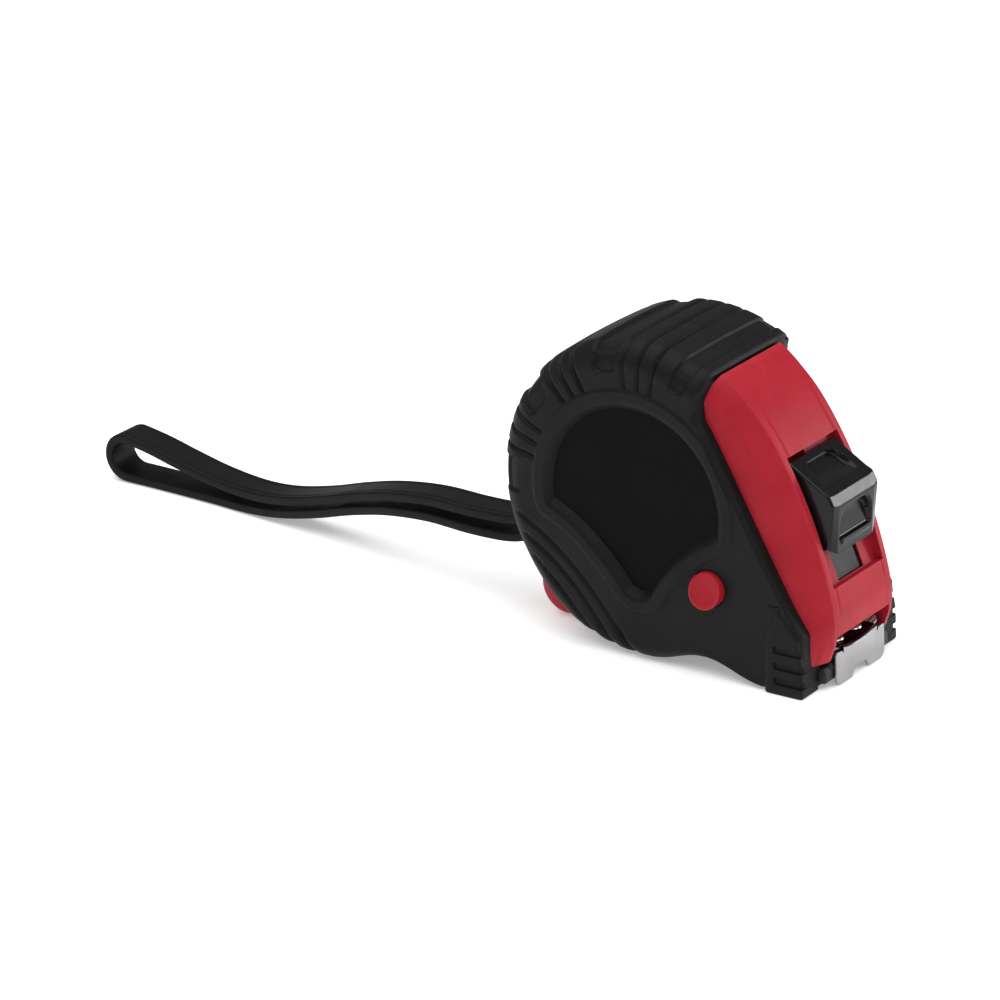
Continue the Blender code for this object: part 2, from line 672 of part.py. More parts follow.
def make_blade():
    end = NOSE - 0.4 * MM
    tail = end - BLADE_TAIL
    bend = [2.5 * MM + 10.5 * MM * k / 6 for k in range(7)]
    stations = [tail, -2.0 * MM, *bend, 24.0 * MM, end]
    blade = cupped_strip("blade_front", stations, BLADE_WIDTH / 2, BLADE_LEVEL, BLADE_THICKNESS,
                         "white_blade")
    tab_level = BLADE_LEVEL + BLADE_THICKNESS + SEAM
    hook = prism_front("end_hook", hook_outline(tab_level), HOOK_BACK, HOOK_FRONT, "chrome_steel")
    tab_start = NOSE - 6.0 * MM
    tab = cupped_strip("hook_tab", [tab_start, tab_start + 3 * MM, HOOK_BACK + 0.2 * MM], HOOK_TAB,
                       tab_level, HOOK_THICKNESS)
    join(hook, tab)
    place = NOSE - 3.2 * MM
    for name, side in (("right", -1), ("left", 1)):
        y = side * RIVET_OFFSET
        hole = upright_block(f"rivet_hole_{name}", place, y, RIVET_RADIUS + SEAM, 0.0)
        slot = upright_block(f"rivet_slot_{name}", place, y, RIVET_RADIUS + SEAM, HOOK_PLAY)
        cut(blade, hole)
        cut(hook, slot)
        low = BLADE_LEVEL - 0.65 * MM
        head = tab_level + HOOK_THICKNESS + cup_rise(RIVET_OFFSET + 2 * MM) + SEAM * 0.7
        upright(f"hook_rivet_{name}", place, y, [
            (1.7 * MM, low), (1.7 * MM, low + 0.4 * MM), (RIVET_RADIUS, low + 0.4 * MM),
            (RIVET_RADIUS, head), (1.8 * MM, head), (1.7 * MM, head + 0.35 * MM),
            (0.9 * MM, head + 0.55 * MM)], "chrome_steel")


def prism_front(name, outline, u0, u1, finish=None):
    bm = bmesh.new()
    skin(bm, [front_ring(outline, u0), front_ring(outline, u1)])
    return add_object(name, bm, finish)


def upright_block(name, u, y, reach, play):
    # A hole through the hook or the blade, lengthened backwards by the hook's play
    outline = [(y - reach, 0.0), (y + reach, 0.0), (y + reach, 20 * MM), (y - reach, 20 * MM)]
    return prism_front(name, outline, u - reach - play, u + reach)


def hook_outline(tab_level):
    # Front view (y, z): a curved top under the blade's edge, cut-in ears and two legs
    top = tab_level + HOOK_THICKNESS
    crest = []
    for k in range(9):
        y = HOOK_TAB - 2 * HOOK_TAB * k / 8
        crest.append((y, top + cup_rise(y)))
    ear = top - 0.2 * MM
    wide = HOOK_HALF_WIDTH
    right = [(-HOOK_TAB, ear), (-wide + 0.7 * MM, ear), (-wide, ear - 0.8 * MM),
             (-wide, HOOK_FOOT + 0.6 * MM), (-wide + 0.6 * MM, HOOK_FOOT)]
    notch = [(-3.4 * MM, HOOK_FOOT), (-2.0 * MM, HOOK_FOOT + 3.0 * MM),
             (2.0 * MM, HOOK_FOOT + 3.0 * MM), (3.4 * MM, HOOK_FOOT)]
    left = [(-y, z) for y, z in right[::-1]]
    return crest + right + notch + left


def make_guide():
    front = NOSE - 1.8 * MM
    back = NOSE - 2.4 * MM - FOOT_LENGTH - 1.2 * MM
    under = CASE_FLOOR - SEAM
    guide = block("blade_guide", back, front, -FOOT_INNER + SEAM, FOOT_INNER - SEAM,
                  1.4 * MM, under, "black_plastic")
    half = BLADE_WIDTH / 2 + RUN - SEAM
    bed = block("guide_bed", NOSE - 9.0 * MM + SEAM, front, -half, half, 3.0 * MM,
                CHANNEL_FLOOR - SEAM)
    join(guide, bed)


# Thumb lock

def make_lock():
    start = LOCK_MARGIN + LOCK_TRAVEL
    end = start + LOCK_LENGTH
    base = SEAM - WINDOW_DEPTH
    ridge = start + 9.8 * MM
    profile = [(start, base), (end, base), (end, -0.3 * MM), (ridge + 2.6 * MM, LOCK_HEIGHT - 0.8 * MM),
               (ridge + 1.9 * MM, LOCK_HEIGHT - 0.2 * MM), (ridge, LOCK_HEIGHT),
               (start, 1.8 * MM)]
    prism("thumb_lock", window_outline(profile), -LOCK_HALF_WIDTH, LOCK_HALF_WIDTH, "gloss_black")
    face = -WINDOW_DEPTH - FRONT_SKIN - RUN
    tongue = window_block("lock_tongue", -4.0 * MM, 24.5 * MM, face - TONGUE_THICKNESS, face,
                          6.0 * MM, "black_plastic")
    neck = window_block("lock_neck", 7.0 * MM, 15.0 * MM, face - 0.3 * MM, base - SEAM,
                        SLOT_HALF_WIDTH - RUN)
    join(tongue, neck)


# Side button

def make_button():
    inner = CAVITY_HALF_WIDTH - RUN
    outer = OUTER_HALF_WIDTH
    flange = BUTTON_RADIUS + 1.2 * MM
    profile = [(flange, -inner + 0.8 * MM), (flange, -inner), (BUTTON_RADIUS, -inner),
               (BUTTON_RADIUS, -outer + 0.8 * MM), (BUTTON_RADIUS - 0.3 * MM, -outer + 0.2 * MM),
               (BUTTON_RADIUS - 0.9 * MM, -outer)]
    place = (AXIS_X + BUTTON_PLACE[0], 0.0, BUTTON_PLACE[1])
    spindle("side_button", BUTTON_PLACE, profile, "red_plastic", 28, place)


# Rear brake trigger

def make_brake():
    origin = (AXIS_X + PIVOT_PLACE[0], 0.0, PIVOT_PLACE[1])
    inner = COIL_RADIUS + BRAKE_LIFT
    outer = CAVITY_RADIUS - 0.6 * MM
    half = BRAKE_HALF_WIDTH
    shoe = arc(outer, NUB_ANGLE - 7, PIVOT_ANGLE, 8) + arc(inner, PIVOT_ANGLE, NUB_ANGLE - 7, 8)
    trigger = prism("bottom_brake", shoe, -half, half, "red_plastic", origin)
    neck = [polar(inner + 0.6 * MM, NUB_ANGLE - 5), polar(BODY_RADIUS, NUB_ANGLE - 5),
            polar(BODY_RADIUS, NUB_ANGLE + 5), polar(inner + 0.6 * MM, NUB_ANGLE + 5)]
    join(trigger, rod("brake_nub", NUB_PLACE, NUB_RADIUS, -half + 0.1 * MM, half - 0.1 * MM),
         prism("brake_neck", neck, -half + 0.2 * MM, half - 0.2 * MM),
         rod("brake_eye", PIVOT_PLACE, BRAKE_PIN_RADIUS + 0.9 * MM, -half + 0.3 * MM,
             half - 0.3 * MM))
    cut(trigger, rod("brake_bore", PIVOT_PLACE, BRAKE_PIN_RADIUS + SEAM, -half - RUN,
                     half + RUN, steps=16))
    rod("brake_pin", PIVOT_PLACE, BRAKE_PIN_RADIUS, SEAM - CAVITY_HALF_WIDTH - PIN_SEAT,
        CAVITY_HALF_WIDTH + PIN_SEAT - SEAM, "zinc_steel", 16)
    make_brake_spring(half + 0.4 * MM)


def make_brake_spring(start):
    # A torsion spring's coils, side by side on the pin beside the trigger
    wire, coils, around, section = 0.5 * MM, 3, 12, 5
    radius = BRAKE_PIN_RADIUS + SEAM + wire / 2
    pitch = wire * 1.7
    bm = bmesh.new()
    rings = []
    for k in range(coils * around + 1):
        a = 2 * pi * k / around
        y = start + wire / 2 + pitch * k / around
        ring = []
        for j in range(section):
            b = 2 * pi * j / section
            reach = radius + wire / 2 * cos(b)
            ring.append((AXIS_X + PIVOT_PLACE[0] + reach * cos(a), y + wire / 2 * sin(b),
                         PIVOT_PLACE[1] + reach * sin(a)))
        rings.append(ring)
    skin(bm, rings)
    add_object("brake_spring", bm, "spring_steel")


# Belt clip

def make_clip(clip_hole):
    pad = CASE_HALF_WIDTH + SEAM + LABEL_THICKNESS + SEAM + CLIP_THICKNESS / 2
    out = OUTER_HALF_WIDTH - CLIP_THICKNESS / 2
    line = [(pad, AXIS_Z + 16 * MM), (pad, AXIS_Z + 5.6 * MM), (pad + 0.5 * MM, AXIS_Z + 4.2 * MM),
            (out - 0.5 * MM, AXIS_Z + 0.4 * MM), (out, AXIS_Z - 1.4 * MM),
            (out, AXIS_Z - 16 * MM), (out - 0.9 * MM, AXIS_Z - 19 * MM),
            (out - 0.4 * MM, AXIS_Z - 21.5 * MM)]
    outline = strip_outline(line, CLIP_THICKNESS)
    clip = prism_front("belt_clip", outline, -CLIP_HALF_WIDTH, CLIP_HALF_WIDTH, "zinc_steel")
    cut(clip, clip_hole)
    seat = pad + CLIP_THICKNESS / 2 + SEAM
    spindle("clip_screw", CLIP_SCREW_PLACE, [
        (CLIP_SCREW_RADIUS, CAVITY_HALF_WIDTH + SEAM), (CLIP_SCREW_RADIUS, seat),
        (2.8 * MM, seat), (2.6 * MM, seat + 0.9 * MM), (1.6 * MM, seat + 1.2 * MM)],
        "zinc_steel", 20)


# Wrist strap

# Route of the middle of the doubled band: x, y, height of its middle and distance between runs
STRAP_ROUTE = (
    (-0.0334, 0.0000, 0.0185, 0.0032),
    (-0.0400, 0.0001, 0.0177, 0.0036),
    (-0.0470, 0.0004, 0.0168, 0.0040),
    (-0.0570, 0.0012, 0.0162, 0.0040),
    (-0.0690, 0.0028, 0.0153, 0.0036),
    (-0.0810, 0.0047, 0.0137, 0.0032),
    (-0.0920, 0.0065, 0.0115, 0.0031),
    (-0.1030, 0.0082, 0.0085, 0.0031),
    (-0.1140, 0.0096, 0.0053, 0.0031),
    (-0.1240, 0.0106, 0.0034, 0.0031),
    (-0.1350, 0.0111, 0.0028, 0.0031),
    (-0.1450, 0.0112, 0.0030, 0.0038),
    (-0.1530, 0.0112, 0.0037, 0.0052),
    (-0.1600, 0.0111, 0.0043, 0.0064),
)
STRAP_LOOP = 0.0032              # radius of the band's middle round the end of the loop


def smooth_line(points, steps):
    # A smooth curve through the points, read at even shares of each span
    line = []
    last = len(points) - 1
    for k in range(last):
        p0, p1, p2, p3 = (Vector(points[max(k - 1, 0)]), Vector(points[k]),
                          Vector(points[k + 1]), Vector(points[min(k + 2, last)]))
        for j in range(steps):
            t = j / steps
            line.append(0.5 * ((2 * p1) + (p2 - p0) * t + (2 * p0 - 5 * p1 + 4 * p2 - p3) * t * t
                               + (3 * p1 - p0 - 3 * p2 + p3) * t ** 3))
    line.append(Vector(points[last]))
    return line


def strap_line():
    # Out along the upper run, round the end and back along the lower run
    middle = smooth_line(STRAP_ROUTE, 3)
    upper = [Vector((p[0], p[1], p[2] + p[3] / 2)) for p in middle]
    lower = [Vector((p[0], p[1], p[2] - p[3] / 2)) for p in middle]
    end = middle[-1]
    turn = []
    for k in range(1, 8):
        a = pi * k / 8
        turn.append(Vector((end[0] - STRAP_LOOP * sin(a) * 1.1, end[1],
                            end[2] + STRAP_LOOP * cos(a))))
    return upper + turn + lower[::-1]


def make_strap():
    line = strap_line()
    bm = bmesh.new()
    rings = []
    half, deep = STRAP_WIDTH / 2, STRAP_THICKNESS / 2
    section = [(-half, -deep), (half, -deep), (half, deep), (-half, deep)]
    for k, point in enumerate(line):
        along = line[min(k + 1, len(line) - 1)] - line[max(k - 1, 0)]
        along.normalize()
        side = Vector((0, 1, 0)) - along * along.y
        side.normalize()
        normal = along.cross(side)
        rings.append([point + side * a + normal * b for a, b in section])
    skin(bm, rings)
    add_object("wrist_strap", bm, "black_rubber")
    reach = WALL_AT_STRAP - 1.1 * MM
    lug = block("strap_lug", reach, STRAP_PIN_PLACE[0] + 1.6 * MM, -LUG_HALF_WIDTH,
                LUG_HALF_WIDTH, STRAP_LEVEL - LUG_HALF_HEIGHT, STRAP_LEVEL + LUG_HALF_HEIGHT,
                "black_rubber")
    cut(lug, rod("lug_bore", STRAP_PIN_PLACE, STRAP_PIN_RADIUS + SEAM, -STRAP_PIN_HALF,
                 STRAP_PIN_HALF, steps=16))
    rod("strap_pin", STRAP_PIN_PLACE, STRAP_PIN_RADIUS, -STRAP_PIN_HALF, STRAP_PIN_HALF,
        "zinc_steel", 16)


def main():
    clear_scene()
    button_hole, clip_hole = make_cases()
    make_grips(button_hole)
    make_labels(clip_hole)
    make_drum()
    make_blade()
    make_guide()
    make_lock()
    make_button()
    make_brake()
    make_clip(clip_hole)
    make_strap()


main()
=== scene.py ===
from math import cos, pi, radians, sin, sqrt

import bmesh
import bpy
import numpy as np
from mathutils import Matrix, Vector


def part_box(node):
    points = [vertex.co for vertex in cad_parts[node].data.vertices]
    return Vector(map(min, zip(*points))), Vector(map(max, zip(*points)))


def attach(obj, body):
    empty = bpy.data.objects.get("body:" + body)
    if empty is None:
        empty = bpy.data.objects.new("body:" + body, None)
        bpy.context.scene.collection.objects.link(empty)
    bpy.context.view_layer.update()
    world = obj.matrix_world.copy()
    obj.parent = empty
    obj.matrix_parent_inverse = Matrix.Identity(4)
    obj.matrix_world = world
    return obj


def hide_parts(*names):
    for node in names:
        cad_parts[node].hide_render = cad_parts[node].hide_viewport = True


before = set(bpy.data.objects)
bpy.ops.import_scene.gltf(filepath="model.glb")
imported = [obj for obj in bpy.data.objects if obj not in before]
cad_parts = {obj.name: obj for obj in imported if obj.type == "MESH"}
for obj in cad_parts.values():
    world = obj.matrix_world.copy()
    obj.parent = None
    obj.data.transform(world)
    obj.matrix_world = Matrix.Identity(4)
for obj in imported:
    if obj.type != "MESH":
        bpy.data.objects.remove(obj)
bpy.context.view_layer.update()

# Pocket tape measure in red plastic and black rubber, with a thumb lock, a side button and a wrist strap.
# Shapes are worked out in millimetres.
# Outlines are (u, z): u along X from the drum's axis, z above the floor.
mm = 0.001


def boxOf(node):
    low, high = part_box(node)
    return [v / mm for v in low], [v / mm for v in high]


coilLow, coilHigh = boxOf("blade_coil")
caseLow, caseHigh = boxOf("case_right")
hookHigh = boxOf("end_hook")[1]
axisX = (coilLow[0] + coilHigh[0]) / 2
axisZ = (coilLow[2] + coilHigh[2]) / 2
bodyRadius = axisZ                        # the round body stands on the floor
coilRadius = (coilHigh[0] - coilLow[0]) / 2
caseRadius = bodyRadius - 2.6             # rubber and its seam on the case
caseHalf = -caseLow[1]
bladeHalf = coilHigh[1]
nose = caseHigh[0] - axisX
tuck = 1.9                                # hook nests this far inside the mouth
hookFront = hookHigh[0] - axisX - tuck
bladeLevel = axisZ - coilRadius - 0.6
mouthTop = bladeLevel + 3.0
caseTopAngle = 58.3
gripTopAngle = 59.5


# Camera

view = {
    "place": (0.5043, -0.7441, 0.3904),
    "azimuth": 36.725,
    "elevation": 21.761,
    "roll": -2.84,
    "lens": 172.8,
}


def makeCamera():
    data = bpy.data.cameras.new("camera")
    data.lens = view["lens"]
    data.sensor_width = 36.0
    data.clip_start = 0.05
    data.clip_end = 20.0
    camera = bpy.data.objects.new("camera", data)
    turn = Matrix.Rotation(radians(view["azimuth"]), 4, 'Z')
    tilt = Matrix.Rotation(radians(90 - view["elevation"]), 4, 'X')
    roll = Matrix.Rotation(radians(view["roll"]), 4, 'Z')
    camera.matrix_world = Matrix.Translation(view["place"]) @ turn @ tilt @ roll
    bpy.context.scene.collection.objects.link(camera)
    bpy.context.scene.camera = camera
    print("camera placed")


# Materials

def nodeTools(name):
    made = bpy.data.materials.new(name)
    made.use_nodes = True
    tree = made.node_tree
    shader = tree.nodes["Principled BSDF"]

    def add(kind, **values):
        node = tree.nodes.new(kind)
        for key, value in values.items():
            if key in node.inputs:
                node.inputs[key].default_value = value
            else:
                setattr(node, key, value)
        return node

    def wire(source, output, target, socket):
        tree.links.new(source.outputs[output], target.inputs[socket])

    return made, shader, add, wire


def ramp(add, stops):
    node = add("ShaderNodeValToRGB")
    bar = node.color_ramp
    while len(bar.elements) < len(stops):
        bar.elements.new(0.5)
    for element, (place, shade) in zip(bar.elements, stops):
        element.position = place
        element.color = (*shade, 1.0) if len(shade) == 3 else shade
    return node


def mixColours(made, share, plain, colour):
    # Plain colour below, the given colour where the share is 1
    tree = made.node_tree
    mix = tree.nodes.new("ShaderNodeMix")
    mix.data_type = 'RGBA'
    tree.links.new(share.outputs["Value"], mix.inputs["Factor"])
    tree.links.new(plain.outputs["Color"], mix.inputs[6])
    mix.inputs[7].default_value = (*colour, 1.0)
    tree.links.new(mix.outputs[2], tree.nodes["Principled BSDF"].inputs["Base Color"])


def setGloss(add, wire, shader, source, low, high):
    gloss = add("ShaderNodeMapRange")
    gloss.inputs["To Min"].default_value = low
    gloss.inputs["To Max"].default_value = high
    wire(source, "Fac", gloss, "Value")
    wire(gloss, "Result", shader, "Roughness")


def raiseGrain(add, wire, shader, source, strength, depth):
    bump = add("ShaderNodeBump", Strength=strength, Distance=depth)
    wire(source, "Fac", bump, "Height")
    wire(bump, "Normal", shader, "Normal")


def mouldedFinish(name, dark, light, roughness, grain, grainDepth, worn=None, specular=0.5):
    # Moulded plastic or rubber: cloudy colour, uneven gloss, fine grain and paler worn edges
    made, shader, add, wire = nodeTools(name)
    place = add("ShaderNodeTexCoord")
    cloud = add("ShaderNodeTexNoise", Scale=90.0, Detail=5.0, Roughness=0.6)
    wire(place, "Object", cloud, "Vector")
    tint = ramp(add, [(0.3, dark), (0.72, light)])
    wire(cloud, "Fac", tint, "Fac")
    if worn:
        edges = add("ShaderNodeNewGeometry")
        reach = ramp(add, [(0.515, (0.0, 0.0, 0.0)), (0.6, (1.0, 1.0, 1.0))])
        wire(edges, "Pointiness", reach, "Fac")
        rub = add("ShaderNodeTexNoise", Scale=420.0, Detail=3.0)
        wire(place, "Object", rub, "Vector")
        share = add("ShaderNodeMath", operation='MULTIPLY')
        wire(reach, "Color", share, 0)
        wire(rub, "Fac", share, 1)
        mixColours(made, share, tint, worn)
    else:
        wire(tint, "Color", shader, "Base Color")
    patches = add("ShaderNodeTexNoise", Scale=260.0, Detail=4.0)
    wire(place, "Object", patches, "Vector")
    setGloss(add, wire, shader, patches, roughness - 0.07, roughness + 0.09)
    fine = add("ShaderNodeTexNoise", Scale=grain, Detail=3.0, Roughness=0.7)
    wire(place, "Object", fine, "Vector")
    raiseGrain(add, wire, shader, fine, 0.35, grainDepth)
    shader.inputs["Specular IOR Level"].default_value = specular
    return made


def metalFinish(name, shade, roughness, grain, stretch, depth):
    # Rolled or plated steel: long fine grain, faint stains, uneven gloss
    made, shader, add, wire = nodeTools(name)
    place = add("ShaderNodeTexCoord")
    pull = add("ShaderNodeMapping", Scale=stretch)
    wire(place, "Object", pull, "Vector")
    lines = add("ShaderNodeTexNoise", Scale=grain, Detail=4.0, Roughness=0.65)
    wire(pull, "Vector", lines, "Vector")
    stain = add("ShaderNodeTexNoise", Scale=140.0, Detail=3.0)
    wire(place, "Object", stain, "Vector")
    tint = ramp(add, [(0.3, tuple(0.86 * c for c in shade)), (0.7, shade)])
    wire(stain, "Fac", tint, "Fac")
    wire(tint, "Color", shader, "Base Color")
    setGloss(add, wire, shader, lines, max(roughness - 0.06, 0.04), roughness + 0.1)
    raiseGrain(add, wire, shader, lines, 0.25, depth)
    shader.inputs["Metallic"].default_value = 1.0
    return made


bladeMarks = {
    "pitch": 0.001,          # a line for each millimetre
    "lineShare": 0.22,
    "shortLine": 0.0028,
    "longLine": 0.0046,      # every fifth line
    "ink": (0.012, 0.012, 0.014),
}


def bladeFinish():
    # White lacquer with black graduations along both edges
    made, shader, add, wire = nodeTools("whiteBlade")
    place = add("ShaderNodeTexCoord")
    parts = add("ShaderNodeSeparateXYZ")
    wire(place, "Object", parts, "Vector")

    def maths(kind, *terms):
        node = add("ShaderNodeMath", operation=kind)
        for k, term in enumerate(terms):
            if isinstance(term, float):
                node.inputs[k].default_value = term
            else:
                wire(term[0], term[1], node, k)
        return (node, "Value")

    across = maths('ABSOLUTE', (parts, "Y"))
    inward = maths('SUBTRACT', bladeHalf * mm, across)
    step = maths('DIVIDE', (parts, "X"), bladeMarks["pitch"])
    count = maths('ADD', step, 1000.0)    # keeps the count above zero behind the middle
    line = maths('LESS_THAN', maths('FRACT', count), bladeMarks["lineShare"])
    fifth = maths('FRACT', maths('DIVIDE', count, 5.0))
    atFifth = maths('LESS_THAN', fifth, 0.2)
    reach = maths('ADD', maths('MULTIPLY', atFifth, bladeMarks["longLine"] - bladeMarks["shortLine"]),
                  bladeMarks["shortLine"])
    inside = maths('LESS_THAN', inward, reach)
    ink = maths('MULTIPLY', line, inside)
    cloud = add("ShaderNodeTexNoise", Scale=110.0, Detail=4.0)
    wire(place, "Object", cloud, "Vector")
    paint = ramp(add, [(0.3, (0.62, 0.62, 0.58)), (0.7, (0.74, 0.74, 0.71))])
    wire(cloud, "Fac", paint, "Fac")
    mixColours(made, ink[0], paint, bladeMarks["ink"])
    setGloss(add, wire, shader, cloud, 0.24, 0.4)
    fine = add("ShaderNodeTexNoise", Scale=2600.0, Detail=2.0)
    wire(place, "Object", fine, "Vector")
    raiseGrain(add, wire, shader, fine, 0.15, 0.00003)
    return made


# Dark and light colour, roughness, the size and depth of the grain, colour of worn edges, shine
mouldedFinishes = {
    "redPlastic": ((0.29, 0.009, 0.018), (0.36, 0.013, 0.024), 0.45, 2600.0, 0.00005,
                   (0.48, 0.04, 0.06), 0.14),
    "redTrigger": ((0.3, 0.003, 0.016), (0.38, 0.006, 0.024), 0.4, 2400.0, 0.00004, (0.5, 0.06, 0.09), 0.3),
    "blackRubber": ((0.0038, 0.0038, 0.004), (0.0068, 0.0068, 0.007), 0.5, 3200.0, 0.00008, None, 0.13),
    "strapRubber": ((0.003, 0.003, 0.0032), (0.005, 0.005, 0.0052), 0.5, 2800.0, 0.00006, None, 0.12),
    "labelBlack": ((0.0012, 0.0012, 0.0016), (0.0024, 0.0024, 0.003), 0.42, 4200.0, 0.00002, None, 0.05),
    "glossBlack": ((0.003, 0.003, 0.0032), (0.006, 0.006, 0.0062), 0.2, 1900.0, 0.00002, None, 0.2),
    "blackPlastic": ((0.006, 0.006, 0.006), (0.02, 0.02, 0.02), 0.5, 1500.0, 0.00025, None, 0.35),
    "greyPlastic": ((0.24, 0.24, 0.25), (0.32, 0.32, 0.33), 0.48, 2200.0, 0.00006, (0.42, 0.42, 0.43), 0.5),
}

# Colour, roughness, the size of the grain, its stretch and its depth
metalFinishes = {
    "chromeSteel": ((0.74, 0.74, 0.75), 0.26, 900.0, (1.0, 1.0, 0.2), 0.00002),
    "hookSteel": ((0.36, 0.36, 0.37), 0.34, 700.0, (1.0, 1.0, 0.3), 0.00003),
    # The hook tab's chrome has a dark colour: a painted reflection of the dark mouth it faces
    "chromePaintedDarkReflection": ((0.07, 0.07, 0.075), 0.12, 900.0, (0.3, 1.0, 1.0), 0.00001),
    "springSteel": ((0.3, 0.31, 0.34), 0.3, 1500.0, (1.0, 0.08, 1.0), 0.00003),
    "zincSteel": ((0.56, 0.56, 0.57), 0.33, 1300.0, (1.0, 1.0, 0.12), 0.00003),
}


def makeFinishes():
    finishes = {name: mouldedFinish(name, *values) for name, values in mouldedFinishes.items()}
    for name, values in metalFinishes.items():
        finishes[name] = metalFinish(name, *values)
    finishes["whiteBlade"] = bladeFinish()
    print("finishes made:", len(finishes))
    return finishes


# Meshes

def gridFaces(rows, columns, closeRows=False, closeColumns=False, first=0):
    faces = []
    for i in range(rows if closeRows else rows - 1):
        below = (i + 1) % rows
        for j in range(columns if closeColumns else columns - 1):
            after = (j + 1) % columns
            faces.append((first + i * columns + j, first + i * columns + after,
                          first + below * columns + after, first + below * columns + j))
    return faces


def newPiece(name, verts, faces, sharp=40.0):
    mesh = bpy.data.meshes.new(name)
    mesh.from_pydata([tuple(v) for v in (np.asarray(verts, dtype=float) * mm).tolist()], [], faces)
    bm = bmesh.new()
    bm.from_mesh(mesh)
    bmesh.ops.recalc_face_normals(bm, faces=bm.faces)
    bm.to_mesh(mesh)
    bm.free()
    shadeBy(mesh, sharp)
    piece = bpy.data.objects.new(name, mesh)
    bpy.context.scene.collection.objects.link(piece)
    return piece


def finishPiece(piece, body, finish, node):
    piece.data.materials.clear()
    piece.data.materials.append(finish)
    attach(piece, body)
    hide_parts(node)


def stackPiece(name, rings, sharp=40.0):
    # A closed solid skinned over rings of equal length
    count = len(rings[0])
    verts = [p for ring in rings for p in ring]
    faces = gridFaces(len(rings), count, closeColumns=True)
    faces.append(tuple(range(count)))
    faces.append(tuple(range(len(verts) - 1, len(verts) - 1 - count, -1)))
    return newPiece(name, verts, faces, sharp)


def sideRing(outline, y):
    return [(axisX + u, y, z) for u, z in outline]


def prismPiece(name, outline, y0, y1):
    return stackPiece(name, [sideRing(outline, y0), sideRing(outline, y1)])


def frontPrism(name, outline, u0, u1):
    return stackPiece(name, [[(axisX + u, y, z) for y, z in outline] for u in (u0, u1)])


def turnedPiece(name, centre, profile, steps):
    # Turned round an axis along Y; the profile is (radius, y)
    return stackPiece(name, [sideRing(circle(centre, r, steps), y) for r, y in profile])


def applied(piece):
    # The mesh with its modifiers worked in
    graph = bpy.context.evaluated_depsgraph_get()
    mesh = bpy.data.meshes.new_from_object(piece.evaluated_get(graph))
    piece.modifiers.clear()
    piece.data = mesh
    return mesh


def shadeBy(mesh, angle):
    mesh.shade_smooth()
    mesh.set_sharp_from_angle(angle=radians(angle))


def carve(piece, *cutters, joinThem=False):
    for cutter in cutters:
        step = piece.modifiers.new(cutter.name, 'BOOLEAN')
        step.operation = 'UNION' if joinThem else 'DIFFERENCE'
        step.solver = 'EXACT'
        step.object = cutter
    applied(piece)
    for cutter in cutters:
        bpy.data.objects.remove(cutter, do_unlink=True)


def softenEdges(piece, width):
    step = piece.modifiers.new("edges", 'BEVEL')
    step.width = width * mm
    step.segments = 2
    step.limit_method = 'ANGLE'
    step.angle_limit = radians(35)
    step.harden_normals = False
    shadeBy(applied(piece), 50)


def polar(radius, angle):
    return (radius * cos(radians(angle)), axisZ + radius * sin(radians(angle)))


def arc(radius, start, end, steps):
    return [polar(radius, start + (end - start) * k / steps) for k in range(steps + 1)]


def circle(centre, radius, steps=32):
    return [(centre[0] + radius * cos(2 * pi * k / steps), centre[1] + radius * sin(2 * pi * k / steps))
            for k in range(steps)]


def cornerArc(y, z, bend, start, end, steps=7):
    turns = [radians(start + (end - start) * k / steps) for k in range(steps + 1)]
    return [(y + bend * cos(a), z + bend * sin(a)) for a in turns]


def bezier(points, steps):
    (x0, z0), (x1, z1), (x2, z2), (x3, z3) = points
    curve = []
    for k in range(steps + 1):
        t = k / steps
        a, b, c, d = (1 - t) ** 3, 3 * t * (1 - t) ** 2, 3 * t * t * (1 - t), t ** 3
        curve.append((a * x0 + b * x1 + c * x2 + d * x3, a * z0 + b * z1 + c * z2 + d * z3))
    return curve


def quadratic(start, middle, end, steps):
    curve = []
    for k in range(steps + 1):
        t = k / steps
        a, b, c = (1 - t) ** 2, 2 * t * (1 - t), t * t
        curve.append(tuple(a * p + b * q + c * r for p, q, r in zip(start, middle, end)))
    return curve


def smooth(low, high, value):
    # 0 at low, 1 at high, with an even ease between; low may be the greater
    share = np.clip((np.asarray(value, dtype=float) - low) / (high - low), 0.0, 1.0)
    return share * share * (3 - 2 * share)


def roundDrop(distance, radius):
    reach = min(max(distance, 0.0), radius)
    return radius - sqrt(radius * radius - reach * reach)


# Wrist strap

strap = {
    "width": 8.0,
    "thickness": 2.0,
    "edgeRound": 0.4,
    "loop": 4.6,             # radius of the band's middle round the end of the loop
    "grooves": (2.45, 3.0),  # fine lines along both edges of the outer face
    "grooveDepth": 0.16,
    "grooveWidth": 0.16,
}

# Middle of the doubled band: x, y, height and the distance between its two runs, in metres
strapRoute = (
    (-0.0334, 0.0000, 0.0183, 0.0032),
    (-0.0400, 0.0001, 0.0170, 0.0036),
    (-0.0470, 0.0003, 0.0155, 0.0040),
    (-0.0570, 0.0008, 0.0150, 0.0040),
    (-0.0690, 0.0022, 0.0147, 0.0037),
    (-0.0810, 0.0038, 0.0130, 0.0034),
    (-0.0920, 0.0054, 0.0102, 0.0032),
    (-0.1030, 0.0068, 0.0068, 0.0031),
    (-0.1140, 0.0080, 0.0042, 0.0031),
    (-0.1240, 0.0092, 0.0031, 0.0034),
    (-0.1350, 0.0102, 0.0034, 0.0043),
    (-0.1450, 0.0108, 0.0043, 0.0062),
    (-0.1530, 0.0111, 0.0052, 0.0080),
    (-0.1600, 0.0111, 0.0059, 0.0092),
)


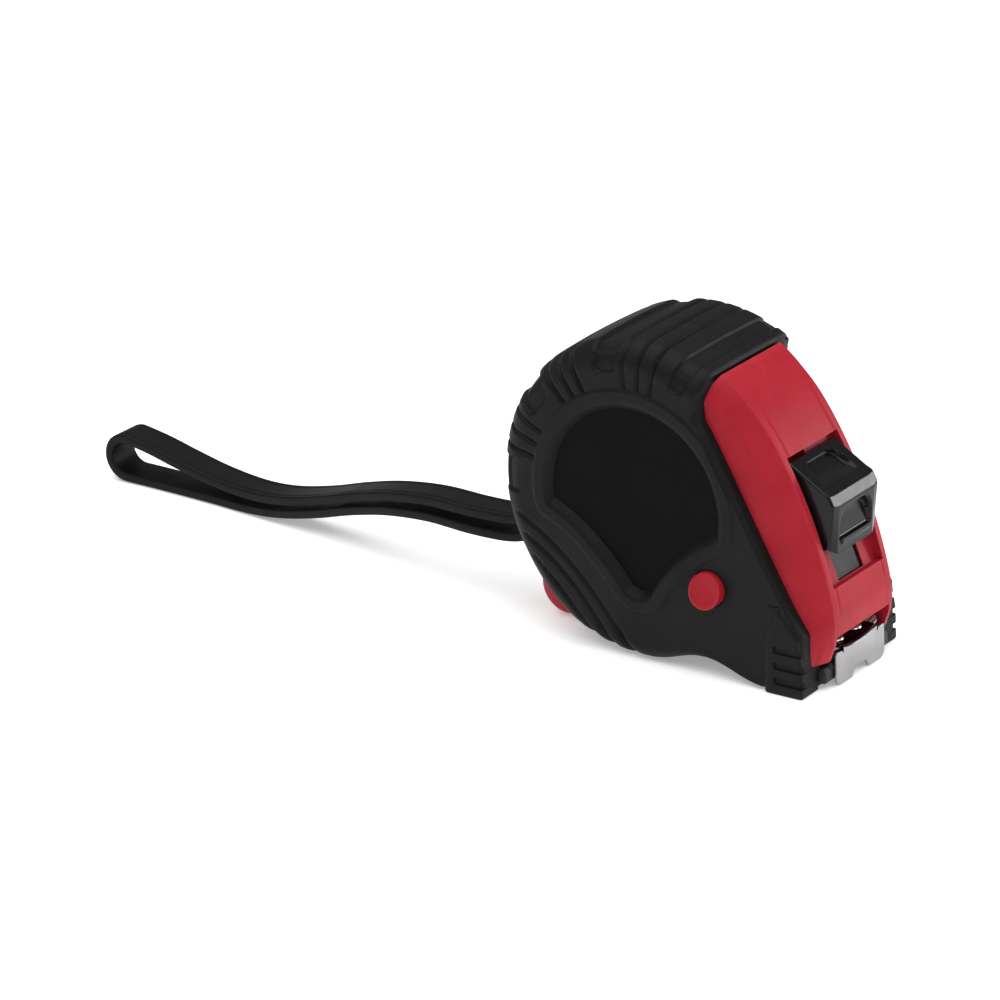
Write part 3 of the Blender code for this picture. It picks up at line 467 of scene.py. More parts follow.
def smoothLine(points, steps):
    line = []
    last = len(points) - 1
    for k in range(last):
        p0, p1 = Vector(points[max(k - 1, 0)]), Vector(points[k])
        p2, p3 = Vector(points[k + 1]), Vector(points[min(k + 2, last)])
        for j in range(steps):
            t = j / steps
            line.append(0.5 * ((2 * p1) + (p2 - p0) * t + (2 * p0 - 5 * p1 + 4 * p2 - p3) * t * t
                               + (3 * p1 - p0 - 3 * p2 + p3) * t ** 3))
    line.append(Vector(points[last]))
    return line


def strapLine():
    # Out along the upper run, round the end and back along the lower run
    middle = smoothLine(strapRoute, 9)
    upper = [Vector((p[0], p[1], p[2] + p[3] / 2)) for p in middle]
    lower = [Vector((p[0], p[1], p[2] - p[3] / 2)) for p in middle]
    end = middle[-1]
    loop = strap["loop"] * mm
    turns = [pi * k / 16 for k in range(1, 16)]
    bend = [Vector((end[0] - loop * sin(a), end[1], end[2] + loop * cos(a))) for a in turns]
    return upper + bend + lower[::-1]


def strapSection():
    # Closed section (across, out): rounded corners and fine lines on the outer face
    half, deep, bend = strap["width"] / 2, strap["thickness"] / 2, strap["edgeRound"]

    def corner(side, out, start):
        return cornerArc(side * (half - bend), out * (deep - bend), bend, start, start + 90, 4)

    spots = [half - bend - 0.1]
    for middle in sorted(strap["grooves"], reverse=True):
        spots += [middle + strap["grooveWidth"], middle, middle - strap["grooveWidth"]]
    spots += [1.2, 0.0]
    outer = []
    for spot in spots + [-s for s in spots[-2::-1]]:
        near = min(abs(abs(spot) - g) for g in strap["grooves"])
        outer.append((spot, deep - strap["grooveDepth"] * (near < 0.01)))
    return corner(1, -1, -90) + corner(1, 1, 0) + outer + corner(-1, 1, 90) + corner(-1, -1, 180)


def makeStrap(finish):
    line = strapLine()
    section = strapSection()
    rings = []
    for k, point in enumerate(line):
        along = line[min(k + 1, len(line) - 1)] - line[max(k - 1, 0)]
        along.normalize()
        side = Vector((0, 1, 0)) - along * along.y
        side.normalize()
        normal = side.cross(along)
        rings.append([(point / mm + side * a + normal * b)[:] for a, b in section])
    band = stackPiece("wristStrap", rings, 28.0)
    finishPiece(band, "case", finish, "wrist_strap")


# Front of the case: its middle line, its flanks and the window the lock slides in

front = {
    "tipRise": 3.8,          # nose's foremost point above the mouth
    "browPull": (3.5, 20.0),
    "shoulderPull": 13.0,
    "flankBack": 3.8,
    "flankLow": (8.8, 13.8),
    "flankHigh": (3.9, 8.5),
    "flankInset": 3.4,
}


def frontCurve(steps):
    top = polar(bodyRadius - 0.6, caseTopAngle)
    tilt = radians(caseTopAngle)
    pull = front["shoulderPull"]
    shoulder = (top[0] + pull * sin(tilt), top[1] - pull * cos(tilt))
    tip = (nose, mouthTop + front["tipRise"])
    brow = (tip[0] - front["browPull"][0], tip[1] + front["browPull"][1])
    return bezier((tip, brow, shoulder, top), steps)


def flankCurve(steps):
    top = polar(caseRadius - front["flankInset"], caseTopAngle)
    foot = (nose - front["flankBack"], mouthTop)
    low = (foot[0] - front["flankLow"][0], foot[1] + front["flankLow"][1])
    high = (top[0] + front["flankHigh"][0], top[1] - front["flankHigh"][1])
    return bezier((foot, low, high, top), steps)


def frontAt(height):
    curve = frontCurve(400)
    for low, high in zip(curve, curve[1:]):
        if high[1] >= height:
            part = (height - low[1]) / (high[1] - low[1])
            return Vector((low[0] + part * (high[0] - low[0]), height))
    return Vector(curve[-1])


lock = {
    "halfWidth": 8.5,
    "length": 20.3,
    "height": 6.2,
    "travel": 5.0,
    "margin": 0.9,
    "edgeRound": 0.55,
    "ridgeAt": 9.8,          # from the lower end
    "scoopHalf": 5.6,        # recess above the ridge
    "scoopDepth": 1.3,
    "ovalHalf": 5.9,         # recess below the ridge
    "ovalDepth": 1.5,
    "ribHalf": 5.3,
    "ribRise": 0.45,
}
window = {
    "foot": 10.2,            # above the mouth
    "length": lock["length"] + lock["travel"] + 2 * lock["margin"],
    "half": lock["halfWidth"] + 0.4,
    "depth": 1.5,
    "lean": 0.3,
    "chord": 0.934,          # its rise in height as a share of its length
}
windowFoot = frontAt(mouthTop + window["foot"])
windowUp = (frontAt(windowFoot.y + window["chord"] * window["length"]) - windowFoot).normalized()
windowOut = Vector((windowUp.y, -windowUp.x))


def onWindow(along, out):
    point = windowFoot + windowUp * along + windowOut * out
    return (point.x, point.y)


def windowRing(corners):
    # Corners are (along, y, out)
    ring = []
    for along, y, out in corners:
        u, z = onWindow(along, out)
        ring.append((axisX + u, y, z))
    return ring


def windowBlock(name, along0, along1, out0, out1, y0, y1):
    outline = [onWindow(along0, out0), onWindow(along1, out0), onWindow(along1, out1), onWindow(along0, out1)]
    return prismPiece(name, outline, y0, y1)


def taperedWindow(name):
    # The recess the lock slides in: its walls lean outwards
    length, half = window["length"], window["half"]
    rings = []
    for out, grow in ((-window["depth"], 0.0), (-window["depth"] + 0.15, 0.1), (0.0, window["lean"]),
                      (9.0, window["lean"])):
        rings.append(windowRing([(-grow, -half - grow, out), (length + grow, -half - grow, out),
                                 (length + grow, half + grow, out), (-grow, half + grow, out)]))
    return stackPiece(name, rings)


# Red case

case = {
    "band": 10.7,            # half width of the flat middle of the front
    "edge": 1.5,
    "floor": 6.0,
    "chin": 18.0,            # where the round body meets the flat underside
    "wall": 2.2,
    "coilGap": 4.0,
    "slotGap": 0.4,          # beside the blade
    "channel": 5.6,          # the mouth's height
    "bandStep": 0.28,        # the middle stands this far out of the flanks
    "grooveAt": 8.5,
    "grooveDepth": 0.13,
    "frontSteps": 44,
}


def caseOutline(y):
    width = abs(y)
    edge = roundDrop(width - (caseHalf - case["edge"]), case["edge"])
    across = min(max((width - case["band"]) / (caseHalf - case["band"]), 0.0), 1.0)
    mix = 0.5 * across + 0.5 * (1 - sqrt(1 - across * across))
    rim = arc(caseRadius - edge, caseTopAngle, 285.0, 60)
    chin = [(case["chin"], case["floor"]), (nose - 1.8 - 2.4 * mix, case["floor"])]
    lip = [(nose - 0.4 - 3.4 * mix, mouthTop - 1.5)]
    face = []
    raised = case["bandStep"] * float(smooth(case["band"] + 0.55, case["band"] - 0.25, width))
    line = case["grooveDepth"] * max(0.0, 1 - abs(width - case["grooveAt"]) / 0.3)
    steps = case["frontSteps"]
    for k, (outer, inner) in enumerate(zip(frontCurve(steps), flankCurve(steps))):
        share = k / steps
        relief = (raised - line) * float(smooth(0.86, 0.72, share) * smooth(-0.02, 0.06, share))
        u = outer[0] + (inner[0] - outer[0]) * mix + relief * 0.85 - case["bandStep"] * 0.5
        z = outer[1] + (inner[1] - outer[1]) * mix + relief * 0.5
        face.append((u, z))
    return rim + chin + lip + face


def caseWidths():
    groove = case["grooveAt"]
    band = case["band"]
    flat = [0.04, 0.5, 2.5, 4.5, 6.5, 7.6, groove - 0.3, groove, groove + 0.3, 9.2]
    step = [band - 0.25, band, band + 0.25, band + 0.55]
    flank = [band + (caseHalf - band) * s for s in (0.22, 0.34, 0.46, 0.58, 0.68)]
    rim = [caseHalf - case["edge"] * (1 - s) for s in (0.05, 0.25, 0.45, 0.65, 0.82, 0.93, 0.98, 1.0)]
    return flat + step + flank + rim


button = {
    "place": (17.4, 19.45),
    "radius": 3.7,
    "hole": 3.95,
    "edgeRound": 0.45,
    "face": 19.55,           # outer face from the parting line
    "lean": 0.9,             # the face leans with the side
}
trigger = {
    "place": polar(bodyRadius + 3.1, 226.8),
    "radius": 6.2,
    "half": 6.9,
    "edgeRound": 1.3,
    "pivot": polar(coilRadius + 2.0, 246.0),
    "pinHole": 1.3,
}
screws = {
    "places": (polar(coilRadius + 3.0, 128.0), polar(coilRadius + 3.0, 186.0), (nose - 13.1, mouthTop + 8.8)),
    "hole": 2.5,
    "clipPlace": (0.0, axisZ + 11.0),
    "clipHole": 1.7,
}
openings = {
    "nubShift": (0.1, 0.4),
    "nubGap": 0.8,
    "nubHalf": 7.4,
    "passage": ((28.0, 217.0), (36.0, 218.5), (36.0, 237.0), (28.0, 238.5)),    # radius and angle
    "passageHalf": 7.3,
    "strap": (15.2, 21.3),   # lower and upper edge of the strap's slot
    "strapFront": -22.0,
    "strapHalf": 4.6,
}


def rearOpenings(name):
    # Slots through the rear wall for the trigger and the strap
    lifted = tuple(a + b for a, b in zip(trigger["place"], openings["nubShift"]))
    nubRing = circle(lifted, trigger["radius"] + openings["nubGap"], 48)
    passage = [polar(*spot) for spot in openings["passage"]]
    back, front = -bodyRadius - 5, openings["strapFront"]
    low, high = openings["strap"]
    slot = [(back, low), (front, low), (front, high), (back, high)]
    return [
        prismPiece(f"{name}NubCut", nubRing, -openings["nubHalf"], openings["nubHalf"]),
        prismPiece(f"{name}PassageCut", passage, -openings["passageHalf"], openings["passageHalf"]),
        prismPiece(f"{name}StrapCut", slot, -openings["strapHalf"], openings["strapHalf"]),
    ]


def buttonHole(name, steps):
    return prismPiece(name, circle(button["place"], button["hole"], steps), -25, -10)


def screwHoles(name, inner):
    return [prismPiece(f"{name}{k}", circle(place, screws["hole"], 28), inner, 25)
            for k, place in enumerate(screws["places"])]


def clipHole(name):
    return prismPiece(name, circle(screws["clipPlace"], screws["clipHole"], 24), 12, 25)


def caseCutters(side):
    half = caseHalf - case["wall"]
    slot = bladeHalf + case["slotGap"]
    floor = mouthTop - case["channel"]
    depth = window["depth"]
    cutters = [
        prismPiece("cavityCut", circle((0.0, axisZ), coilRadius + case["coilGap"], 72), -half, half),
        prismPiece("channelCut", [(0, mouthTop - 3.9), (nose - 14, floor), (nose + 5, floor),
                                  (nose + 5, mouthTop), (0, mouthTop)], -slot, slot),
        prismPiece("mouthCut", [(nose - 9, 0), (nose + 5, 0), (nose + 5, mouthTop), (nose - 9, mouthTop)],
                   -slot, slot),
        taperedWindow("windowCut"),
        windowBlock("slotCut", 0.2, 21.5, -5.0, 3.0, -4.6, 4.6),
        windowBlock("chamberCut", -5.4, window["length"] - 1.2, -4.9, -depth - 0.4, -6.6, 6.6),
        windowBlock("gapCut", window["length"] - 0.95, window["length"] + 0.05, -4.0, -1.0, -8.2, -1.0),
    ]
    cutters += rearOpenings("case")
    if side < 0:
        cutters.append(buttonHole("buttonCut", 40))
    else:
        cutters += screwHoles("screwCut", 12.9)
        cutters.append(clipHole("clipCut"))
    return cutters


def makeCase(finish):
    for name, side, node in (("caseRight", -1, "case_right"), ("caseLeft", 1, "case_left")):
        rings = [sideRing(caseOutline(y), side * y) for y in caseWidths()]
        half = stackPiece(name, rings, 30.0)
        carve(half, *caseCutters(side))
        shadeBy(half.data, 30)
        finishPiece(half, "case", finish, node)
    print("case halves made")


# Rubber grip halves

grip = {
    "shoulder": 5.5,
    "edgeRound": 1.3,         # along the front and the foot
    "crown": 0.6,
    "grooves": (79.0, 86.0, 93.2, 117.4, 124.0, 130.6, 153.0, 160.0, 167.0),
    "grooveWidth": 0.4,
    "grooveDepth": 0.62,
    "bands": ((67.7, 3.5), (102.0, 5.2), (142.0, 6.6), (178.5, 6.8)),  # middle and half width, degrees
    "bandDepth": 0.72,
    "bandCorner": 1.8,
    "bandEnd": 21.2,          # along the section from the parting line
    "lipWidth": 4.6,
    "lipRise": 0.35,
    "tipRise": 0.55,          # more at the tip of the shield
    "recessFloor": 16.2,
    "recessWall": 2.1,        # run of the recess's round wall
    "sweeps": (               # long grooves under the label that sweep down to the bottom edge
        ((-28.6, 26.6), (-19.5, 22.0), (-11.0, 15.0), (-1.8, 0.8)),
        ((-27.0, 22.2), (-19.6, 18.2), (-12.6, 12.0), (-6.8, 1.6)),
        ((-25.2, 17.6), (-20.5, 14.0), (-15.0, 8.6), (-11.0, 2.2)),
    ),
    "sweepDepth": 0.5,
    "browDepth": 0.55,        # step down to the red front
    "rowStep": 0.5,           # degrees between rows
    "topSpots": (0.05, 0.5, 2.4, 4.5, 4.7, 6.0, 7.3, 7.5, 8.8, 10.2, 11.4),
    "topWidth": 11.95,
    "bendSteps": 15,
    "sideSteps": 58,
    "half": 17.5,
    "wall": 2.3,
    "thinWall": 0.8,          # under the blade
    "bladeDrop": 28.7,        # drum's axis down to the shell under the blade
    "backRadius": 33.0,
}

label = {
    "radius": 19.7,
    "shift": -0.5,           # recess's middle behind the drum's axis
    "tip": 18.9,             # drum's axis down to the tip
    "face": 1.7,             # label's face outside the case
}


def labelOutline(inset=0.0):
    # Round top and a shield-shaped point below with hollow flanks
    radius = label["radius"] - inset
    tip = axisZ - label["tip"] + inset
    left, right = polar(radius, 188.0), polar(radius, -8.0)
    rim = arc(radius, -8.0, 188.0, 72)
    down = quadratic(left, (-9.8, axisZ - 6.6), (-1.0, tip + 0.9), 24)[1:]
    turn = quadratic((-1.0, tip + 0.9), (1.2, tip - 0.7), (3.4, tip + 0.9), 8)[1:-1]
    up = quadratic((3.4, tip + 0.9), (8.8, axisZ - 8.2), right, 24)[:-1]
    return [(u + label["shift"], z) for u, z in rim + down + turn + up]


def gripOutline():
    # Side view of the rubber, without its foot
    rim = arc(bodyRadius, gripTopAngle, 272.0, 200)
    start, end = rim[-1][0], nose - 12.0
    arch = [(start + (end - start) * k / 40, 3.4 * sin(pi * k / 40) ** 2) for k in range(1, 40)]
    base = [(end + 1.0, 0.7), (nose - 3.2, 0.7), (nose - 3.2, 9.0)]
    top = polar(bodyRadius, gripTopAngle)
    edge = bezier(((nose - 3.2, mouthTop + 1.6), (nose - 8.6, mouthTop + 8.8),
                   (nose - 20.6, axisZ + 12.0), (top[0] - 1.0, axisZ + 20.5)), 60)
    brow = [(top[0] - 1.3, axisZ + 24.0)]
    return rim + arch + base + edge + brow


def polarReach(outline, angles):
    # Distance from the drum's axis to a closed outline in each direction
    points = np.array(outline + outline[:1])
    dense = [points[0]]
    for a, b in zip(points, points[1:]):
        count = max(1, int(np.hypot(*(b - a)) / 0.12))
        dense += [a + (b - a) * k / count for k in range(1, count + 1)]
    dense = np.array(dense)
    turn = np.degrees(np.arctan2(dense[:, 1] - axisZ, dense[:, 0])) % 360
    reach = np.hypot(dense[:, 0], dense[:, 1] - axisZ)
    order = np.argsort(turn)
    turn, reach = turn[order], reach[order]
    turn = np.concatenate((turn - 360, turn, turn + 360))
    reach = np.concatenate((reach, reach, reach))
    return np.interp(np.asarray(angles) % 360, turn, reach)


def nearLine(points, u, z):
    # Distance from each (u, z) to a line of points
    best = np.full(np.shape(u), 1e9)
    for (a, b), (c, d) in zip(points, points[1:]):
        du, dz = c - a, d - b
        size = du * du + dz * dz
        if size < 1e-12:
            continue
        part = np.clip(((u - a) * du + (z - b) * dz) / size, 0.0, 1.0)
        best = np.minimum(best, np.hypot(u - a - part * du, z - b - part * dz))
    return best


def gripRows():
    step = grip["rowStep"]
    rows = list(np.arange(0.0, 360.0, step))    # doubled up where the brow steps down
    for spot in (gripTopAngle, 59.0, 58.0, 57.0):
        rows += [spot - 0.04, spot + 0.04]
    return np.array(sorted(rows))


def gripBase(rows):
    # Section of the shell at each angle, from the parting line over the shoulder to the recess
    reach = polarReach(gripOutline(), rows)
    hole = polarReach(labelOutline(), rows)
    onRim = smooth(50.0, 60.0, rows) * smooth(300.0, 272.0, rows)
    shoulder = grip["shoulder"] - 2.2 * smooth(205.0, 250.0, rows)
    bend = grip["edgeRound"] + (shoulder - grip["edgeRound"]) * onRim
    atFront = smooth(57.5, 54.0, rows) + smooth(306.0, 311.0, rows)
    first = grip["topSpots"][0]
    start = first + (10.0 - first) * np.clip(atFront, 0.0, 1.0)
    half = grip["half"]
    flat = half - bend
    rho, width, along = [], [], []
    for spot in grip["topSpots"]:
        y = start + (flat - start) * (spot - first) / grip["topWidth"]
        rho.append(reach - grip["crown"] * (y / half) ** 2)
        width.append(y)
        along.append(y)
    crown = grip["crown"] * (flat / half) ** 2
    steps = grip["bendSteps"]
    for k in range(steps):
        turn = pi / 2 * k / steps
        width.append(flat + bend * sin(turn))
        rho.append(reach - crown - bend * (1 - cos(turn)))
        along.append(flat + bend * turn)
    top = reach - crown - bend
    for share in np.linspace(0.0, 1.0, grip["sideSteps"]):
        rho.append(top + (hole - top) * share)
        width.append(np.full_like(reach, half))
        along.append(flat + bend * pi / 2 + (top - rho[-1]))
    return np.array(rho).T, np.array(width).T, np.array(along).T, reach


def gripRelief(turn, rho, along, u, z, lip):
    # How far each point is pushed along its normal
    relief = np.zeros_like(rho)
    lipWidth = grip["lipWidth"]
    ending = smooth(lipWidth - 0.25, lipWidth + 0.25, lip)
    for middle in grip["grooves"]:
        off = np.radians(turn - middle) * rho
        relief -= grip["grooveDepth"] * np.exp(-(off / grip["grooveWidth"]) ** 2) * ending
    for middle, half in grip["bands"]:
        off = np.abs(np.radians(turn - middle)) * np.maximum(rho, 29.0) - radians(half) * 31.0
        over = along - grip["bandEnd"]
        bend = grip["bandCorner"]
        corner = np.hypot(np.maximum(off + bend, 0), np.maximum(over + bend, 0))
        edge = corner + np.minimum(np.maximum(off + bend, over + bend), 0) - bend
        relief -= grip["bandDepth"] * smooth(0.2, -0.2, edge)
    for sweep in grip["sweeps"]:
        near = nearLine(bezier(sweep, 24), u, z)
        fade = smooth(13.5, 15.5, along) * smooth(lipWidth - 0.6, lipWidth + 0.4, lip)
        relief -= grip["sweepDepth"] * np.exp(-(near / 0.4) ** 2) * fade
        lower = smooth(9.0, 4.0, z) * smooth(8.0, 13.0, along)
        relief -= 0.3 * np.exp(-(near / 0.9) ** 2) * lower
    brow = smooth(61.2, gripTopAngle, turn) * (turn > 58.9) * smooth(20.0, 14.0, along)
    return relief - grip["browDepth"] * brow


def gripSkin(rows):
    # Outer face as a grid of points on the right side, and how far the rim reaches
    rho, width, along, reach = gripBase(rows)
    turn = np.repeat(rows[:, None], rho.shape[1], axis=1)
    u = rho * np.cos(np.radians(turn))
    z = axisZ + rho * np.sin(np.radians(turn))
    outline = labelOutline()
    lip = nearLine(outline + outline[:1], u, z)
    rise = grip["lipRise"] + grip["tipRise"] * smooth(30.0, 17.0, z)
    wall = np.sin(pi / 2 * np.clip(lip / grip["recessWall"], 0.0, 1.0))
    floor = grip["recessFloor"]
    crest = grip["half"] + rise * smooth(grip["lipWidth"] + 0.1, grip["lipWidth"] - 0.75, lip)
    onSide = np.arange(rho.shape[1]) >= len(grip["topSpots"]) + grip["bendSteps"]
    width = np.where(onSide[None, :], floor + (crest - floor) * wall, width)
    base = np.stack((axisX + u, -width, z), axis=2)
    down = np.roll(base, -1, axis=0) - np.roll(base, 1, axis=0)
    normal = np.cross(down, np.gradient(base, axis=1))
    normal /= np.maximum(np.linalg.norm(normal, axis=2, keepdims=True), 1e-9)
    if normal[len(rows) // 4, 2, 2] < 0:
        normal = -normal
    relief = gripRelief(turn, rho, along, u, z, lip)
    return base + normal * relief[:, :, None], reach


def gripBack(rows, reach, skin):
    # Two inner rows that close the shell; under the nose they pass below the blade
    back = np.minimum(reach - grip["wall"], grip["backRadius"])
    underside = (rows > 270.0) & (rows < 312.0)
    belowBlade = grip["bladeDrop"] / np.maximum(np.abs(np.sin(np.radians(rows))), 0.5)
    back = np.where(underside, np.minimum(reach - grip["thinWall"], np.maximum(back, belowBlade)), back)
    u = axisX + back * np.cos(np.radians(rows))
    z = axisZ + back * np.sin(np.radians(rows))
    outer = np.full_like(rows, 0.15 - grip["recessFloor"])
    return np.stack((np.stack((u, outer, z), axis=1), np.stack((u, skin[:, 0, 1], z), axis=1)), axis=1)


def makeGrip(finish):
    rows = gripRows()
    skin, reach = gripSkin(rows)
    whole = np.concatenate((skin, gripBack(rows, reach, skin)), axis=1)
    for name, side, node in (("gripRight", 1, "grip_right"), ("gripLeft", -1, "grip_left")):
        points = whole * np.array([1.0, side, 1.0])
        verts = points.reshape(-1, 3).tolist()
        faces = gridFaces(points.shape[0], points.shape[1], True, True)
        footVerts, footFaces = footShape(-side, len(verts))
        half = newPiece(name, verts + footVerts, faces + footFaces, 48.0)
        if side < 0:
            cutters = screwHoles("gripScrewCut", 12.0)
        else:
            cutters = [buttonHole("gripButtonCut", 48)]
        carve(half, *cutters, *rearOpenings("grip"))
        shadeBy(half.data, 48)
        finishPiece(half, "case", finish, node)
    print("grip halves made")


foot = {
    "back": 29.9,
    "front": 39.1,
    "inner": 12.0,
    "outer": 18.0,
    "lean": 10.5,            # height where the back starts to lean forward
    "shoulder": 12.6,        # height where the wedge starts
    "top": 18.9,
    "grooves": (2.9, 6.2, 9.6),
    "grooveHalf": 0.62,
    "grooveDepth": 0.75,
    "grooveStart": 32.4,
    "grooveEase": 0.14,
    "backCorner": 1.2,
    "corner": 0.55,
}


def footRing(z):
    inner, start, deep = foot["inner"], foot["grooveStart"], foot["grooveDepth"]
    half, ease, round0, round1 = foot["grooveHalf"], foot["grooveEase"], foot["backCorner"], foot["corner"]
    taper = max(0.0, z - foot["shoulder"]) / (foot["top"] - foot["shoulder"])
    sole = float(smooth(0.4, 0.0, z))
    back = foot["back"] + 3.4 * max(0.0, (z - foot["lean"]) / (foot["top"] - foot["lean"])) ** 1.3
    tip = foot["front"] - 0.7 * float(smooth(6.0, 12.0, z)) - 5.6 * taper - 0.35 * sole
    outer = foot["outer"] - 0.3 * taper - 0.3 * sole
    notch = max(deep * float(smooth(half + ease, half - ease, abs(z - middle))) for middle in foot["grooves"])
    ring = [(back, inner), (back, outer - round0)]
    for k in range(1, 5):
        a = pi / 2 * k / 5
        ring.append((back + round0 * (1 - cos(a)), outer - round0 + round0 * sin(a)))
    spots = [start - 0.5, start, start + 0.4]
    spots += [start + 0.4 + (tip - 2.6 - start) * s for s in (0.3, 0.6, 0.85)]
    for spot in spots:
        u = min(max(spot, back + 1.3), tip - 2.1 - notch)
        ring.append((u, outer - notch * float(smooth(start, start + 0.4, u))))
    for k in range(6):
        a = pi / 2 * k / 5
        ring.append((tip - notch - round1 + round1 * sin(a), outer - notch - round1 + round1 * cos(a)))
    return ring + [(tip - notch, inner + 2.9), (tip, inner + 2.3), (tip, inner)]


def footShape(side, first):
    levels = [0.0, 0.12, 0.25, 0.4]
    half, ease = foot["grooveHalf"], foot["grooveEase"]
    for middle in foot["grooves"]:
        for edge in (middle - half, middle + half):
            levels += [edge - ease, edge, edge + ease]
    levels += [11.4, 12.1, 12.6, 13.4, 14.4, 15.4, 16.4, 17.4, 18.2, 18.7]
    verts = []
    for z in sorted(levels):
        verts += [(axisX + u, side * y, z) for u, y in footRing(z)]
    count = len(footRing(0.0))
    last = first + len(verts) - 1
    faces = gridFaces(len(levels), count, closeColumns=True, first=first)
    faces.append(tuple(range(first, first + count)))
    faces.append(tuple(range(last, last - count, -1)))
    return verts, faces


# Thumb lock

def lockSpan():
    start = lock["margin"] + lock["travel"]
    return start, start + lock["ridgeAt"], start + lock["length"]


def lockProfile(s):
    start, ridge, end = lockSpan()
    knots = (start, ridge - 0.6, ridge + 2.2, ridge + 3.0, end)
    top = lock["height"]
    return np.interp(s, knots, (1.8, top, top - 0.25, top - 1.1, -0.3))


def boxEdge(x, y, halfX, y0, y1, bend0, bend1):
    # Signed distance to a box with its own corner rounding at each end
    middle, half = (y0 + y1) / 2, (y1 - y0) / 2
    bend = np.where(y > middle, bend1, bend0)
    dx, dy = np.abs(x) - halfX + bend, np.abs(y - middle) - half + bend
    return np.hypot(np.maximum(dx, 0), np.maximum(dy, 0)) + np.minimum(np.maximum(dx, dy), 0) - bend


def lockHeight(s, y):
    # Height over the window's plane, with a recess on each side of the ridge and a rib at the lower edge
    start, ridge = lockSpan()[:2]
    height = lockProfile(s)
    for reach in (0.18, 0.36):
        height = 0.5 * height + 0.25 * (lockProfile(s - reach) + lockProfile(s + reach))
    scoop = boxEdge(y, s, lock["scoopHalf"], ridge + 3.0, ridge + 9.0, 0.6, 2.4)
    height = height - lock["scoopDepth"] * smooth(ridge + 3.4, ridge + 6.2, s) * smooth(0.3, -0.45, scoop)
    oval = boxEdge(y, s, lock["ovalHalf"], start + 2.6, ridge - 1.3, 0.6, 3.4)
    bowl = lock["ovalDepth"] * smooth(start + 1.0, ridge - 2.4, s) + 0.4
    height = height - bowl * smooth(0.15, -0.4, oval)
    rib = boxEdge(y, s, lock["ribHalf"], start + 1.5, start + 2.9, 0.2, 0.2)
    return height + lock["ribRise"] * smooth(0.12, -0.2, rib)


def makeLock(finish):
    start = lockSpan()[0]
    length, half, bend = lock["length"], lock["halfWidth"], lock["edgeRound"]
    base = 0.3 - window["depth"]
    lowest = base + 0.1
    inner = np.linspace(-half + bend, half - bend, 84)
    turns = [radians(90 * k / 6) for k in range(1, 6)]
    rings = []
    for share in np.linspace(0.0, 1.0, 112):
        s = start + share * length
        edges = []
        for side in (-1, 1):
            level = float(lockHeight(np.array([s]), np.array([side * (half - bend)]))[0])
            edge = [(side * half, base), (side * half, max(level - bend, lowest))]
            edge += [(side * (half - bend + bend * cos(turn)), max(level - bend + bend * sin(turn), lowest))
                     for turn in turns]
            edges.append(edge)
        levels = lockHeight(np.full_like(inner, s), inner)
        flat = [(y, max(float(v), lowest)) for y, v in zip(inner, levels)]
        line = edges[0] + flat + edges[1][::-1]
        # The lower edge bows back towards its corners
        bow = 0.9 * (1 - share) ** 2
        rings.append(windowRing([(s + max(0.0, abs(y) - (half - 2.0)) * bow, y, out) for y, out in line]))
    piece = stackPiece("thumbLock", rings)
    finishPiece(piece, "lock", finish, "thumb_lock")
    print("lock made")


tongue = {
    "half": 6.0,
    "ribHalf": 4.5,
    "behind": 0.55,          # behind the window's floor
    "thickness": 1.3,
    "stations": ((-0.1, 0.4), (0.4, 0.0), (7.0, 0.0), (14.0, 0.0), (24.0, 0.0)),
}


def makeTongue(finish):
    # Brake tongue under the lock: seen through the slot, it slides with the lock
    face = -window["depth"] - tongue["behind"]
    half, rib, low = tongue["half"], tongue["ribHalf"], face - tongue["thickness"]
    step = face - 0.2
    section = ((-half, low), (half, low), (half, step), (rib, step), (rib - 0.15, face),
               (0.15 - rib, face), (-rib, step), (-half, step))
    rings = [windowRing([(along, y, out - fall) for y, out in section]) for along, fall in tongue["stations"]]
    piece = stackPiece("lockTongue", rings, 30.0)
    neck = windowBlock("tongueNeck", 7.2, 15.0, face - 0.3, 0.1 - window["depth"], -4.1, 4.1)
    carve(piece, neck, joinThem=True)
    finishPiece(piece, "lock", finish, "lock_tongue")
    print("tongue made")


# Blade, hook and rivets

blade = {
    "cup": 1.9,              # edges stand this far over the middle
    "thickness": 0.3,
    "length": 50.0,
    "corner": 1.6,
    "back": 0.4,             # end of the strip behind the hook
}


def cupRise(y, share=1.0):
    return blade["cup"] * share * (y / bladeHalf) ** 2


def bladeRise(u, y):
    # Flat on the coil, cupped further out, and dipping on its way to the mouth
    return cupRise(y, float(smooth(2.5, 13.0, u))) - hook["drop"] * float(smooth(18.0, 34.0, u))


def acrossLine(half, spans=36):
    return [-half + 2 * half * k / spans for k in range(spans + 1)]


def makeBlade(finish):
    end = nose - blade["back"] - tuck
    bend = blade["corner"]
    places = [end - blade["length"], *np.linspace(-4.0, 13.0, 18), *range(18, 36, 2), end - 3.5, end - 2.0]
    stations = [(u, bladeHalf) for u in places]
    for k in range(1, 7):
        a = pi / 2 * k / 6
        stations.append((end - bend + bend * sin(a), bladeHalf - bend * (1 - cos(a))))
    rings = []
    for u, half in stations:
        ys = acrossLine(half)
        ring = [(axisX + u, y, bladeLevel + bladeRise(u, y)) for y in ys]
        ring += [(axisX + u, y, bladeLevel + blade["thickness"] + bladeRise(u, y)) for y in reversed(ys)]
        rings.append(ring)
    strip = stackPiece("blade", rings)
    finishPiece(strip, "blade", finish, "blade_front")
    print("blade made")


hook = {
    "half": 9.0,
    "tab": 6.2,              # half width of the plate over the blade
    "foot": 0.15,            # lower edge above the floor
    "thickness": 0.6,
    "bend": 0.95,
    "corner": 2.0,
    "edge": 0.14,
    "drop": 2.0,             # below the level at which the blade leaves the coil
    "tabRise": 0.6,          # plate over the blade
}


